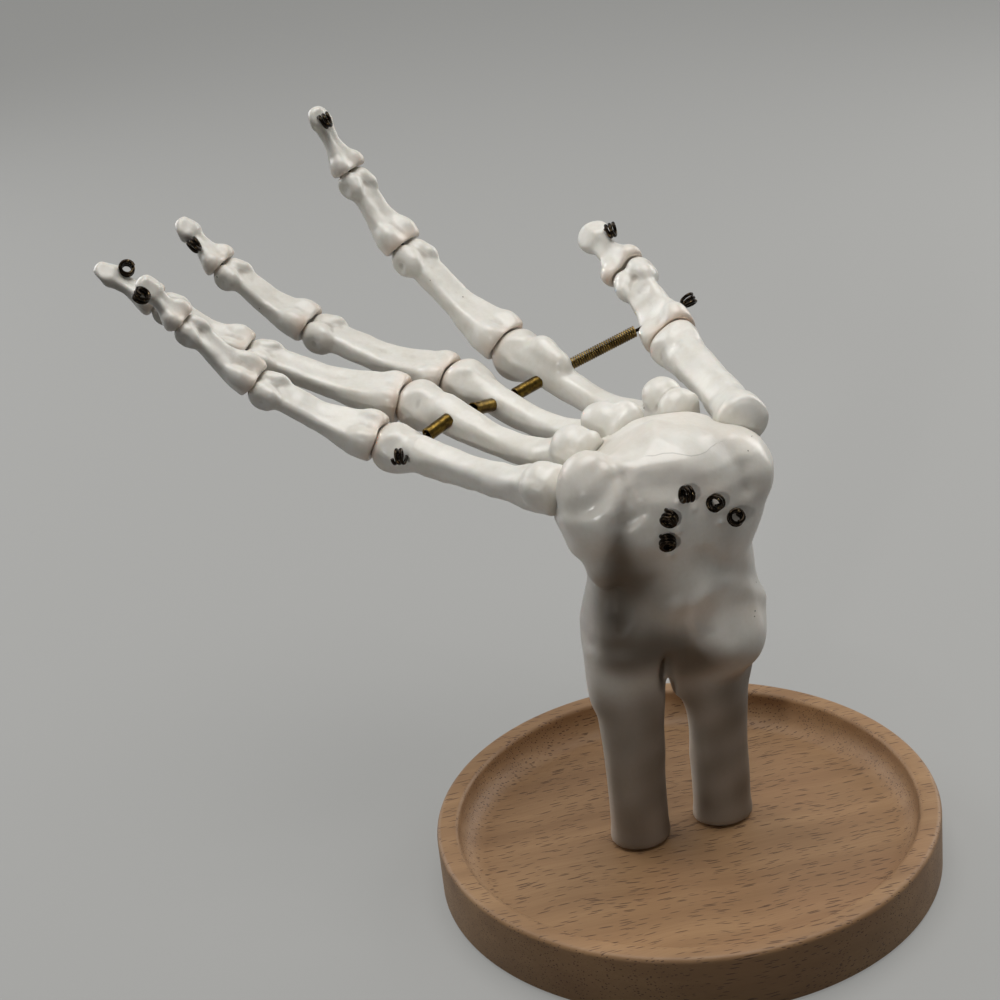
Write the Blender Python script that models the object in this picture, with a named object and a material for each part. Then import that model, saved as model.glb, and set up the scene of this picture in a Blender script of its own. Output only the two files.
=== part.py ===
"""Skeleton hand jewelry holder: a palm-up hand of strung bones on two forearm stubs, on a round wooden tray.

World frame: metres, +Z up, origin under the middle of the tray.
The fingers point along -X and the thumb side lies towards +Y.
Bone frame: x runs from the base to the tip, y to the little finger's side, z out of the palm.
"""
import math
from dataclasses import dataclass

import bmesh
import bpy
from mathutils import Matrix, Vector

MM = 0.001

# Tray
TRAY_RADIUS = 60.0 * MM
TRAY_HEIGHT = 15.0 * MM
TRAY_RECESS_DEPTH = 8.0 * MM
TRAY_RIM_WIDTH = 5.2 * MM
TRAY_COVE_RADIUS = 6.0 * MM
TRAY_RIM_ROUND = 1.2 * MM
TRAY_FOOT_CHAMFER = 0.8 * MM
TRAY_SEGMENTS = 48
TRAY_ARC_STEPS = 4
TRAY_EDGE_STEPS = 2

# Forearm stubs, shared by the stubs, the screws and the holes under them
STUB_SEAT_GAP = 0.3 * MM
STUB_SPACING = 21.8 * MM
STUB_LINE_AZIMUTH = math.radians(53.5)
STUB_MID_X = -3.5 * MM
STUB_MID_Y = 3.3 * MM
STUB_DEPTH = 1.8 * MM
STUB_ULNA_HALF_WIDTH = 6.7 * MM
STUB_RADIUS_HALF_WIDTH = 7.4 * MM
STUB_HALF_DEPTH = 6.6 * MM
STUB_TOP_FLARE = 1.6 * MM
STUB_FOOT_ROUND = 1.5 * MM
STUB_TOP = 60.0 * MM

# Wrist block
BLOCK_HALF_DEPTH = 18.0 * MM
BLOCK_DEPTH_SHIFT = -2.5 * MM
FACE_SINK = 0.5 * MM
FACE_DEPTH = BLOCK_HALF_DEPTH + BLOCK_DEPTH_SHIFT - FACE_SINK
BLOCK_VOXEL = 2.0 * MM
BLOCK_SMOOTH_STEPS = 3
BLOCK_FACE_RATIO = 0.115
SEAT_GAP = 0.3 * MM

# Screws that hold the forearm stubs on the tray
SCREW_SHANK_RADIUS = 1.5 * MM
SCREW_HEAD_RADIUS = 3.0 * MM
SCREW_HEAD_DEPTH = 1.8 * MM
SCREW_HEAD_SINK = 0.6 * MM
SCREW_GRIP = 11.0 * MM
SCREW_DRIVE_RADIUS = 1.1 * MM
SCREW_DRIVE_DEPTH = 1.0 * MM
SCREW_CLEARANCE = 0.3 * MM
SCREW_SIDES = 16

# Bones
BONE_SIDES = 12
KNUCKLE_GAP = 0.35 * MM
CUP_HALF_ANGLE = math.radians(48.0)
CUP_RIM = 0.7 * MM
KNUCKLE_SHARPNESS = 2.6
CONDYLE_GROOVE = 0.45 * MM
NECK_RATIO = 0.74
NECK_PLACE = 1.3
ARCH_END = 1.3
ROUTE_BOW_SHARE = 0.8
WAIST_PLACE = 0.56
TIP_WAIST_PLACE = 0.50
PALM_HOLLOW = 0.2
SHAFT_SQUARENESS = 2.3

# Wires
WIRE_RADIUS = 0.4 * MM
WIRE_CLEARANCE = 0.35 * MM
WIRE_SIDES_RESOLUTION = 1
EYE_RADIUS = 1.75 * MM
EYE_TURNS = 2.25
EYE_PITCH = 1.25 * MM
EYE_POINTS = 8
EYE_STAND = 0.5 * MM
WRIST_EYE_STAND = 0.2 * MM
TUNNEL_POINTS = 6
BORE_POINTS = 6
TUNNEL_START_HANDLE = 9.0 * MM
TUNNEL_END_HANDLE = 10.0 * MM
TIP_SPLIT_BACK = 3.0 * MM
WIRE_SPLIT_GAP = 0.3 * MM

# Knuckle wire, its spacer tubes and its spring
TUBE_RADIUS = 1.7 * MM
TUBE_WALL = 0.35 * MM
TUBE_END_GAP = 0.35 * MM
TUBE_SEAT_DEPTH = 0.8 * MM
TUBE_SEAT_GAP = 0.3 * MM
TUBE_SIDES = 14
SPRING_WIRE_RADIUS = 0.24 * MM
SPRING_RADIUS = 1.25 * MM
SPRING_PITCH = 1.0 * MM
SPRING_POINTS = 8
TUBE_END_SLOPE = 0.5 * MM
CROSS_EYE_STAND = 0.5 * MM
CROSS_BORE_REACH = 10.0 * MM
CROSS_EYE_HEADING = Vector((-0.45, 0.9, 0.18))
CROSS_EYE_AXIS = Vector((0.88, 0.37, 0.05))


@dataclass(frozen=True)
class Knuckle:
    """A hinge between two bones: the size of the head and the range of its bend, straight being 0."""

    radius: float
    half_width: float
    least_bend: float
    most_bend: float
    groove: float = CONDYLE_GROOVE


@dataclass(frozen=True)
class Shaft:
    """Length of a bone between its hinge lines, half width and half height of its waist, and its bow."""

    length: float
    half_width: float
    half_height: float
    bow: float


@dataclass(frozen=True)
class Exit:
    """Where a finger's wire leaves the wrist block: across and up its face, the eye's turn and its side."""

    across: float
    height: float
    turn: float
    side: int


@dataclass(frozen=True)
class Eye:
    """A fingertip's eye: turn of its hole about the bone, of its axis, its side, and its place from the tip.

    Turns are in degrees. A hole at 0 opens on the palm's side, at 90 on the little finger's side.
    """

    hole_turn: float
    axis_turn: float
    side: int
    back: float


@dataclass(frozen=True)
class Finger:
    """One ray of the hand, from the metacarpal's base to the fingertip.

    knuckle is the place of the first hinge; yaw, pitch and roll turn the metacarpal about Z, then its own
    y, then its own x. bends and leans are the angles at which each phalanx rests on the bone before it.
    neck_ratio narrows the metacarpal behind its head, and arch_end is where its bow ends, in head radii
    before the hinge.
    """

    name: str
    knuckle: Vector
    yaw: float
    pitch: float
    roll: float
    base_half_width: float
    base_half_height: float
    shafts: tuple
    knuckles: tuple
    bends: tuple
    leans: tuple
    exit: Exit
    eye: Eye
    cross_back: float
    cross_lift: float
    neck_ratio: float = NECK_RATIO
    arch_end: float = ARCH_END


def knuckle(radius, half_width, least, most, groove=CONDYLE_GROOVE):
    """A Knuckle from sizes in millimetres and angles in degrees."""
    return Knuckle(radius * MM, half_width * MM, math.radians(least), math.radians(most), groove)


def shaft(length, half_width, half_height, bow=1.0):
    """A Shaft from sizes in millimetres."""
    return Shaft(length * MM, half_width * MM, half_height * MM, bow * MM)


def degrees(*values):
    """Angles in degrees as a tuple in radians."""
    return tuple(math.radians(value) for value in values)


FINGERS = (
    Finger("index", Vector((-65.0, 40.5, 107.5)) * MM, *degrees(167, 4, -5), 5.3 * MM, 6.1 * MM,
           (shaft(58.5, 3.7, 3.5, 5.7), shaft(39.0, 4.0, 3.3), shaft(24.5, 3.6, 3.0),
            shaft(22.0, 2.2, 2.0, 0.2)),
           (knuckle(6.6, 6.6, -15, 65, 0.0), knuckle(4.8, 5.5, -5, 75), knuckle(4.0, 4.8, -5, 55)),
           degrees(33, 16, 13), degrees(8, 1, 1), Exit(5.8 * MM, 96.4 * MM, 25, 1),
           Eye(10, 0, 1, 6.2 * MM), 11.0 * MM, -2.4 * MM, 0.66, 0.9),
    Finger("middle", Vector((-70.0, 24.0, 104.5)) * MM, *degrees(171, 2, -8), 5.8 * MM, 6.2 * MM,
           (shaft(54.5, 3.6, 3.4, 5.4), shaft(43.0, 4.1, 3.4), shaft(29.0, 3.7, 3.1),
            shaft(19.5, 2.3, 2.1, 0.2)),
           (knuckle(6.6, 6.6, -15, 65, 0.0), knuckle(4.9, 5.6, -5, 75), knuckle(4.0, 4.9, -5, 55)),
           degrees(15, 18, 18), degrees(14, 2, 0), Exit(0.5 * MM, 100.0 * MM, 75, 1),
           Eye(40, -15, -1, 6.2 * MM), 11.0 * MM, -2.2 * MM, 0.60, 0.7),
    Finger("ring", Vector((-72.0, 7.5, 105.0)) * MM, *degrees(175, 4, -13), 5.5 * MM, 5.9 * MM,
           (shaft(52.5, 3.7, 3.4, 4.4), shaft(43.0, 3.9, 3.2), shaft(26.0, 3.4, 2.8),
            shaft(20.5, 2.3, 1.9, 0.2)),
           (knuckle(6.2, 6.2, -15, 60, 0.0), knuckle(4.6, 5.2, -5, 75), knuckle(3.8, 4.5, -5, 55)),
           degrees(17, 17, 5), degrees(19, 1, 2), Exit(-3.9 * MM, 95.2 * MM, -20, -1),
           Eye(-10, 0, -1, 5.4 * MM), 12.0 * MM, 1.2 * MM),
    Finger("little", Vector((-68.0, -8.5, 100.5)) * MM, *degrees(178, 3, -19), 5.5 * MM, 6.0 * MM,
           (shaft(48.0, 3.9, 3.8, 1.8), shaft(34.5, 3.5, 3.1), shaft(23.0, 3.1, 2.7),
            shaft(17.0, 2.1, 1.9, 0.2)),
           (knuckle(6.0, 6.0, -15, 65, 0.0), knuckle(4.3, 4.9, -5, 75), knuckle(3.5, 4.1, -5, 55)),
           degrees(28, 22, 12), degrees(12, 0, 0), Exit(-4.3 * MM, 89.7 * MM, 10, -1),
           Eye(60, 20, 1, 5.0 * MM), 5.0 * MM, 1.8 * MM),
    Finger("thumb", Vector((-26.2, 54.5, 109.1)) * MM, *degrees(139, 5, -40), 6.0 * MM, 6.3 * MM,
           (shaft(45.5, 5.0, 4.3, 1.6), shaft(30.0, 4.6, 3.9), shaft(23.5, 2.9, 2.5, 0.2)),
           (knuckle(6.4, 7.0, -10, 50, 0.0), knuckle(5.1, 6.1, -10, 60)),
           degrees(13, 15), degrees(-8, 7), Exit(11.0 * MM, 91.9 * MM, 35, 1),
           Eye(-100, 60, -1, 4.6 * MM), -11.0 * MM, 1.8 * MM),
)
BONE_NAMES = ("metacarpal", "proximal", "middle", "distal")
THUMB_BONE_NAMES = ("metacarpal", "proximal", "distal")

# The torso of the wrist block: height, near and far edge across the stub line, share of the half depth
BLOCK_RINGS = (
    (49.5 * MM, -18.0 * MM, 21.5 * MM, 0.44),
    (53.0 * MM, -18.8 * MM, 22.8 * MM, 0.56),
    (58.0 * MM, -19.8 * MM, 25.0 * MM, 0.66),
    (65.0 * MM, -20.2 * MM, 25.2 * MM, 0.76),
    (73.0 * MM, -18.8 * MM, 23.0 * MM, 0.80),
    (80.0 * MM, -18.8 * MM, 22.5 * MM, 0.86),
    (87.0 * MM, -22.0 * MM, 25.0 * MM, 0.96),
    (94.0 * MM, -24.4 * MM, 28.0 * MM, 1.00),
    (99.0 * MM, -22.5 * MM, 28.0 * MM, 0.98),
    (103.5 * MM, -18.5 * MM, 25.5 * MM, 0.88),
    (107.0 * MM, -11.5 * MM, 19.0 * MM, 0.66),
    (109.0 * MM, -4.5 * MM, 10.0 * MM, 0.36),
)
# Swellings of the wrist block: across, depth and height of the middle, then the three half sizes
BLOCK_SWELLINGS = (
    (-14.5 * MM, 7.0 * MM, 94.0 * MM, 9.5 * MM, 7.0 * MM, 15.0 * MM),
    (12.0 * MM, 7.0 * MM, 58.0 * MM, 9.0 * MM, 7.0 * MM, 9.0 * MM),
    (6.0 * MM, -13.0 * MM, 98.0 * MM, 18.0 * MM, 8.5 * MM, 9.0 * MM),
    (21.0 * MM, 0.0 * MM, 97.5 * MM, 7.0 * MM, 11.0 * MM, 8.0 * MM),
    (3.0 * MM, 4.0 * MM, 102.0 * MM, 12.0 * MM, 9.0 * MM, 8.0 * MM),
)
BLOCK_SQUARENESS = 2.6
BLOCK_SIDES = 28


def material(name, colour, roughness, metallic=0.0):
    """A Principled material, made once per name."""
    made = bpy.data.materials.get(name)
    if made is None:
        made = bpy.data.materials.new(name)
        made.use_nodes = True
        surface = made.node_tree.nodes["Principled BSDF"]
        surface.inputs["Base Color"].default_value = (*colour, 1.0)
        surface.inputs["Roughness"].default_value = roughness
        surface.inputs["Metallic"].default_value = metallic
    return made


def bone_material():
    """Glossy ivory resin of the bones."""
    return material("bone", (0.82, 0.78, 0.70), 0.28)


def block_material():
    """Hand-formed ivory of the wrist and the forearm stubs."""
    return material("wrist_ivory", (0.78, 0.74, 0.67), 0.38)


def wood_material():
    """Oiled beech of the tray."""
    return material("beech", (0.55, 0.33, 0.17), 0.45)


def bronze_material():
    """Dark bronze wire."""
    return material("bronze_wire", (0.16, 0.11, 0.06), 0.35, 1.0)


def brass_material():
    """Aged brass of the spacer tubes and the spring."""
    return material("brass", (0.55, 0.40, 0.16), 0.33, 1.0)


def steel_material():
    """Zinc-plated steel of the screws."""
    return material("steel", (0.60, 0.60, 0.60), 0.35, 1.0)


def add_object(name, bm, surface, smooth_angle=50.0):
    """Turn a bmesh into a named object with outward normals, one material and smooth shading."""
    bmesh.ops.recalc_face_normals(bm, faces=bm.faces)
    mesh = bpy.data.meshes.new(name)
    bm.to_mesh(mesh)
    bm.free()
    mesh.materials.append(surface)
    mesh.shade_smooth()
    mesh.set_sharp_from_angle(angle=math.radians(smooth_angle))
    made = bpy.data.objects.new(name, mesh)
    bpy.context.scene.collection.objects.link(made)
    return made


def add_cutter(name, bm):
    """A cutter: drawn as wire and left out of renders."""
    made = add_object(name, bm, bone_material())
    made.display_type = "WIRE"
    made.hide_render = True
    return made


def cut(target, tool, operation="DIFFERENCE"):
    """Add an exact Boolean modifier that takes the tool from, or joins it to, the target."""
    step = target.modifiers.new(tool.name, "BOOLEAN")
    step.operation = operation
    step.solver = "EXACT"
    step.object = tool


def skin(bm, rings):
    """Bridge closed rings of equal length and close both ends with a face."""
    loops = [[bm.verts.new(point) for point in ring] for ring in rings]
    count = len(loops[0])
    for first, second in zip(loops, loops[1:]):
        for i in range(count):
            j = (i + 1) % count
            bm.faces.new((first[i], first[j], second[j], second[i]))
    bm.faces.new(list(reversed(loops[0])))
    bm.faces.new(loops[-1])


def disc(centre, axis, radius, sides, across=None):
    """Points of a circle about an axis."""
    axis = axis.normalized()
    side = across or axis.orthogonal()
    side = (side - axis * side.dot(axis)).normalized()
    other = axis.cross(side)
    points = []
    for i in range(sides):
        angle = math.tau * i / sides
        points.append(centre + radius * (math.cos(angle) * side + math.sin(angle) * other))
    return points


def rod(bm, start, end, radius, sides):
    """A straight round rod with closed ends."""
    axis = end - start
    skin(bm, [disc(start, axis, radius, sides), disc(end, axis, radius, sides)])


def turned(bm, profile, sides, axis_matrix=Matrix.Identity(4)):
    """A turned solid from a closed profile of (radius, height) points about the matrix's z axis."""
    count = len(profile)
    loops = []
    for radius, height in profile:
        if radius < 1e-9:
            loops.append([bm.verts.new(axis_matrix @ Vector((0, 0, height)))])
            continue
        loops.append([
            bm.verts.new(axis_matrix @ Vector((radius * math.cos(math.tau * i / sides),
                                               radius * math.sin(math.tau * i / sides), height)))
            for i in range(sides)
        ])
    for k in range(count if len(loops[0]) > 1 else count - 1):
        first, second = loops[k], loops[(k + 1) % count]
        for i in range(sides):
            j = (i + 1) % sides
            corners = [first[i % len(first)], first[j % len(first)],
                       second[j % len(second)], second[i % len(second)]]
            corners = list(dict.fromkeys(corners))
            if len(corners) > 2:
                bm.faces.new(corners)


def arc(centre_r, centre_z, radius, start, end, steps):
    """Points of a profile's arc, from one angle in degrees to another."""
    points = []
    for i in range(steps + 1):
        angle = math.radians(start + (end - start) * i / steps)
        points.append((centre_r + radius * math.cos(angle), centre_z + radius * math.sin(angle)))
    return points


def tube_curve(name, points, radius, surface, resolution=WIRE_SIDES_RESOLUTION):
    """A wire: a curve through the points with a round bevel and filled ends."""
    curve = bpy.data.curves.new(name, "CURVE")
    curve.dimensions = "3D"
    curve.bevel_depth = radius
    curve.bevel_resolution = resolution
    curve.use_fill_caps = True
    spline = curve.splines.new("POLY")
    spline.points.add(len(points) - 1)
    for control, point in zip(spline.points, points):
        control.co = (*point, 1.0)
    curve.materials.append(surface)
    made = bpy.data.objects.new(name, curve)
    bpy.context.scene.collection.objects.link(made)
    return made


def bezier(start, start_handle, end_handle, end, count):
    """Points of a cubic curve, both ends included."""
    points = []
    for i in range(count):
        t = i / (count - 1)
        s = 1.0 - t
        points.append(start * s ** 3 + start_handle * 3 * s * s * t + end_handle * 3 * s * t * t
                      + end * t ** 3)
    return points


# Frames and bones

def bend_matrix(bend, lean):
    """Turn of a phalanx on the bone before it: leaned to the side, then bent towards the palm."""
    return Matrix.Rotation(lean, 4, "Z") @ Matrix.Rotation(-bend, 4, "Y")


def finger_frames(finger):
    """Matrices of a finger's bones. The metacarpal's origin is its base, a phalanx's is its hinge."""
    turn = (Matrix.Rotation(finger.yaw, 4, "Z") @ Matrix.Rotation(-finger.pitch, 4, "Y")
            @ Matrix.Rotation(finger.roll, 4, "X"))
    hinge = finger.knuckle
    base = hinge - (turn.to_3x3() @ Vector((finger.shafts[0].length, 0, 0)))
    frames = [Matrix.Translation(base) @ turn]
    for length, bend, lean in zip([s.length for s in finger.shafts[1:]], finger.bends, finger.leans):
        turn = turn @ bend_matrix(bend, lean)
        frames.append(Matrix.Translation(hinge) @ turn)
        hinge = hinge + turn.to_3x3() @ Vector((length, 0, 0))
    return frames


def head_profile(joint, y, grow=0.0):
    """Distance of a head's surface from its hinge line, at y along that line."""
    share = abs(y) / (joint.half_width + grow)
    if share >= 1.0:
        return 0.0
    round_off = (1.0 - share ** KNUCKLE_SHARPNESS) ** (1.0 / KNUCKLE_SHARPNESS)
    groove = joint.groove * math.exp(-(y / (0.28 * joint.half_width)) ** 2)
    return (joint.radius + grow) * round_off - groove


def head_reach(joint, along, y_share, z_share, lean):
    """How far the head's surface lies from the bone's axis, in one direction of a cross-section.

    The head is turned about the hinge line, which leans with the next bone.
    """
    if head_profile(joint, along * math.sin(lean)) <= abs(along) * math.cos(lean):
        return 0.0
    low, high = 0.0, joint.radius + joint.half_width
    for _ in range(30):
        middle = 0.5 * (low + high)
        ahead = along * math.cos(lean) + middle * y_share * math.sin(lean)
        aside = middle * y_share * math.cos(lean) - along * math.sin(lean)
        if math.hypot(middle * z_share, ahead) < head_profile(joint, aside):
            low = middle
        else:
            high = middle
    return low


def shaft_reach(half_width, half_height, y_share, z_share, hollow):
    """How far a shaft's surface lies from its axis, flatter on the side of the palm."""
    squareness = SHAFT_SQUARENESS
    sum_of_shares = (abs(y_share) / half_width) ** squareness + (abs(z_share) / half_height) ** squareness
    reach = sum_of_shares ** (-1.0 / squareness)
    if z_share > 0.0:
        reach *= 1.0 - hollow * z_share ** 4
    return reach


def eased(stations, at):
    """Half width and half height between two stations, with a soft S-shaped change."""
    for (x0, a0, b0), (x1, a1, b1) in zip(stations, stations[1:]):
        if at <= x1:
            share = max(0.0, (at - x0) / (x1 - x0))
            share = share * share * (3.0 - 2.0 * share)
            return a0 + (a1 - a0) * share, b0 + (b1 - b0) * share
    return stations[-1][1], stations[-1][2]


def arch_share(x, first, last):
    """Share of a bone's bow at a place along it."""
    return math.sin(math.pi * min(1.0, max(0.0, (x - first) / (last - first))))


def bone_rings(stations, cuts, bone, joint=None, lean=0.0, grow=0.0, arch_last=None):
    """Cross-sections of a bone from its base to the far end of its head or tip.

    stations give the shaft's half sizes; a joint adds its head at the far end, leaned with the next bone.
    arch_last is where the bone's bow ends, if not at the last station.
    """
    first = cuts[0]
    last_shaft = arch_last or stations[-1][0]
    rings = []
    for x in cuts:
        half_width, half_height = eased(stations, x)
        middle = Vector((x, 0.0, 0.0))
        arch = arch_share(x, first, last_shaft)
        middle.z = -bone.bow * arch
        hollow = PALM_HOLLOW * arch
        ring = []
        for i in range(BONE_SIDES):
            angle = math.tau * (i + 0.5) / BONE_SIDES
            y_share, z_share = math.cos(angle), math.sin(angle)
            reach = shaft_reach(half_width, half_height, y_share, z_share, hollow)
            if joint:
                along = x - bone.length
                fade = min(1.0, max(0.0, -along / (0.55 * joint.radius)))
                reach *= math.sqrt(fade) if fade > 0.0 else 0.0
                head = head_reach(joint, along, y_share, z_share, lean)
                reach = (reach ** 8 + head ** 8) ** 0.125
            reach += grow
            ring.append(middle + Vector((0.0, y_share * reach, z_share * reach)))
        rings.append(ring)
    return rings


def head_cuts(length, joint):
    """Places of the cross-sections over a head."""
    return [length + share * joint.radius for share in (-1.1, -0.6, -0.2, 0.25, 0.65, 0.92)]


def cup_start(joint):
    """Distance from a hinge line to the rim of the next bone's cup."""
    return (joint.radius + KNUCKLE_GAP) * math.cos(CUP_HALF_ANGLE)


def cup_half_height(joint):
    """Half height of a base around its cup."""
    return (joint.radius + KNUCKLE_GAP) * math.sin(CUP_HALF_ANGLE) + CUP_RIM


def metacarpal_stations(finger):
    """Half sizes along a metacarpal, from its base to its neck."""
    bone, joint = finger.shafts[0], finger.knuckles[0]
    wide, high = finger.base_half_width, finger.base_half_height
    return [
        (0.0, 0.84 * wide, 0.84 * high),
        (1.2 * MM, wide, high),
        (5.0 * MM, wide, 0.96 * high),
        (0.30 * bone.length, 1.06 * bone.half_width, 1.12 * bone.half_height),
        (0.52 * bone.length, bone.half_width, bone.half_height),
        (bone.length - NECK_PLACE * joint.radius, finger.neck_ratio * joint.half_width,
         finger.neck_ratio * joint.radius),
    ]


def phalanx_stations(bone, base_joint, head_joint):
    """Half sizes along a proximal or middle phalanx, from its cup to its neck."""
    start = cup_start(base_joint)
    wide, high = base_joint.half_width, cup_half_height(base_joint)
    return [
        (start, wide - 0.6 * MM, high - 0.35 * MM),
        (start + 0.8 * MM, wide, high),
        (start + 2.4 * MM, 0.95 * wide, 0.95 * high),
        (start + WAIST_PLACE * (bone.length - start), bone.half_width, bone.half_height),
        (bone.length - NECK_PLACE * head_joint.radius, NECK_RATIO * head_joint.half_width,
         NECK_RATIO * head_joint.radius),
    ]


def fingertip_stations(bone, base_joint):
    """Half sizes along a distal phalanx: a flared base, a thin waist and a flat round tuft."""
    start = cup_start(base_joint)
    wide, high = base_joint.half_width, cup_half_height(base_joint)
    return [
        (start, wide - 0.5 * MM, high - 0.35 * MM),
        (start + 0.7 * MM, wide, high),
        (start + TIP_WAIST_PLACE * (bone.length - start), bone.half_width, bone.half_height),
        (bone.length - 1.35 * bone.half_width, 1.5 * bone.half_width, 1.4 * bone.half_height),
        (bone.length - 0.55 * bone.half_width, 1.3 * bone.half_width, 1.2 * bone.half_height),
        (bone.length - 0.1 * bone.half_width, 0.65 * bone.half_width, 0.6 * bone.half_height),
    ]


def spread(stations, shares):
    """Places of cross-sections: every station, and shares of the way between chosen pairs."""
    places = [station[0] for station in stations]
    for index, share in shares:
        places.append(stations[index][0] + share * (stations[index + 1][0] - stations[index][0]))
    return sorted(places)


def make_bone(name, frame, rings, surface=None):
    """A bone solid from rings in its own frame, placed by its frame."""
    bm = bmesh.new()
    skin(bm, rings)
    made = add_object(name, bm, surface or bone_material(), 60.0)
    made.matrix_world = frame
    return made


def cup_cutter(name, frame, joint):
    """The hollow of a base: the head before it, grown by the running gap."""
    steps, sides = 8, 20
    reach = joint.half_width + KNUCKLE_GAP
    profile = []
    for i in range(steps + 1):
        y = -reach * math.cos(math.pi * i / steps)
        profile.append((head_profile(joint, y, KNUCKLE_GAP), y))
    bm = bmesh.new()
    turned(bm, profile, sides, frame @ Matrix.Rotation(-math.pi / 2, 4, "X"))
    return add_cutter(name, bm)


def wire_slot(name, frame, joint, bend_rest):
    """The fan-shaped slot in a head that lets the wire swing with the next bone.

    frame is the next bone's frame at rest, whose origin is the hinge.
    """
    half = WIRE_RADIUS + WIRE_CLEARANCE
    reach = joint.radius + 1.5 * MM
    low = joint.least_bend - bend_rest
    high = joint.most_bend - bend_rest
    steps = 6
    outline = [Vector((half * math.cos(turn), 0.0, half * math.sin(turn)))
               for turn in (high + math.pi / 2, (low + high) / 2 + math.pi, low - math.pi / 2)]
    spare = half / reach
    for i in range(steps + 1):
        angle = low - spare + (high - low + 2 * spare) * i / steps
        outline.append(Vector((reach * math.cos(angle), 0.0, reach * math.sin(angle))))
    bm = bmesh.new()
    sides = [[frame @ (point + Vector((0.0, side * half, 0.0))) for point in outline] for side in (-1, 1)]
    skin(bm, sides)
    return add_cutter(name, bm)


def straight_bore(name, start, end, radius=WIRE_RADIUS + WIRE_CLEARANCE, sides=8):
    """A round bore cutter between two points."""
    bm = bmesh.new()
    rod(bm, start, end, radius, sides)
    return add_cutter(name, bm)


def finger_bone_names(finger):
    """Node names of a finger's bones, base to tip."""
    kinds = THUMB_BONE_NAMES if len(finger.shafts) == 3 else BONE_NAMES
    return [f"{finger.name}_{kind}" for kind in kinds]


def eye_points(start, outward, axis, side):
    """A wire end that rises from a surface and winds into an eye standing on it.

    start is where the wire leaves the surface, outward the way it leaves, axis the eye's own axis,
    and side, 1 or -1, the side that the eye leans to.
    """
    outward = outward.normalized()
    axis = (axis - outward * axis.dot(outward)).normalized()
    along = axis.cross(outward) * side
    rise = EYE_RADIUS + WIRE_RADIUS + EYE_STAND
    centre = start + outward * rise + along * EYE_RADIUS
    points = [start]
    for i in range(int(EYE_TURNS * EYE_POINTS) + 1):
        angle = math.tau * i / EYE_POINTS
        round_part = outward * math.sin(angle) - along * math.cos(angle)
        points.append(centre + round_part * EYE_RADIUS + axis * (EYE_PITCH * i / EYE_POINTS))
    return points


def least_self_gap(points, radius):
    """Least clear distance of a wound wire to itself, measured on its points."""
    least = math.inf
    for i, first in enumerate(points):
        for second in points[i + 5:]:
            least = min(least, (first - second).length - 2.0 * radius)
    return least


def block_point(across, depth, height):
    """World point from the block's own measures: across the stub line, out of its face, and height."""
    line = Vector((math.cos(STUB_LINE_AZIMUTH), math.sin(STUB_LINE_AZIMUTH), 0.0))
    face = Vector((math.sin(STUB_LINE_AZIMUTH), -math.cos(STUB_LINE_AZIMUTH), 0.0))
    return Vector((STUB_MID_X, STUB_MID_Y, 0.0)) + line * across + face * depth + Vector((0, 0, height))


# Tray and screws

def floor_height():
    """Height of the tray's floor."""
    return TRAY_HEIGHT - TRAY_RECESS_DEPTH


def stub_centre(side):
    """Middle of a forearm stub across the stub line: -1 for the ulna, 1 for the radius."""
    return side * STUB_SPACING / 2


def make_tray():
    """Turned tray with a rounded rim, a coved recess and two countersunk screw holes."""
    floor = floor_height()
    inner = TRAY_RADIUS - TRAY_RIM_WIDTH
    round_height = TRAY_HEIGHT - TRAY_RIM_ROUND
    profile = [(0.0, 0.0), (TRAY_RADIUS - TRAY_FOOT_CHAMFER, 0.0), (TRAY_RADIUS, TRAY_FOOT_CHAMFER)]
    profile += arc(TRAY_RADIUS - TRAY_RIM_ROUND, round_height, TRAY_RIM_ROUND, 0, 90, TRAY_EDGE_STEPS)
    profile += arc(inner + TRAY_RIM_ROUND, round_height, TRAY_RIM_ROUND, 90, 180, TRAY_EDGE_STEPS)
    profile += arc(inner - TRAY_COVE_RADIUS, floor + TRAY_COVE_RADIUS, TRAY_COVE_RADIUS, 0, -90,
                   TRAY_ARC_STEPS)
    profile += [(0.0, floor)]
    bm = bmesh.new()
    turned(bm, profile, TRAY_SEGMENTS)
    tray = add_object("tray", bm, wood_material(), 40.0)
    head = SCREW_HEAD_RADIUS + SCREW_CLEARANCE
    shank = SCREW_SHANK_RADIUS + SCREW_CLEARANCE
    hole = [(0.0, -1.0 * MM), (head, -1.0 * MM), (head, SCREW_HEAD_SINK),
            (shank, SCREW_HEAD_SINK + SCREW_HEAD_DEPTH), (shank, floor + 1.0 * MM), (0.0, floor + 1.0 * MM)]
    for name, side in (("ulna", -1), ("radius", 1)):
        bm = bmesh.new()
        place = Matrix.Translation(block_point(stub_centre(side), STUB_DEPTH, 0.0))
        turned(bm, hole, SCREW_SIDES, place)
        cut(tray, add_cutter(f"cut_tray_{name}", bm))
    return tray


def make_screw(name, side):
    """Countersunk screw up through the tray into a forearm stub, with a six-sided socket."""
    base = SCREW_HEAD_SINK
    neck = base + SCREW_HEAD_DEPTH
    tip = floor_height() + SCREW_GRIP
    profile = [(0.0, base), (SCREW_HEAD_RADIUS, base), (SCREW_SHANK_RADIUS, neck),
               (SCREW_SHANK_RADIUS, tip - 1.5 * SCREW_SHANK_RADIUS), (0.0, tip)]
    bm = bmesh.new()
    turned(bm, profile, SCREW_SIDES)
    screw = add_object(name, bm, steel_material(), 40.0)
    screw.location = block_point(stub_centre(side), STUB_DEPTH, 0.0)
    start = screw.location + Vector((0, 0, base - 0.5 * MM))
    end = screw.location + Vector((0, 0, base + SCREW_DRIVE_DEPTH))
    cut(screw, straight_bore(f"cut_{name}", start, end, SCREW_DRIVE_RADIUS, 6))
    return screw


# Wrist block

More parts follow.
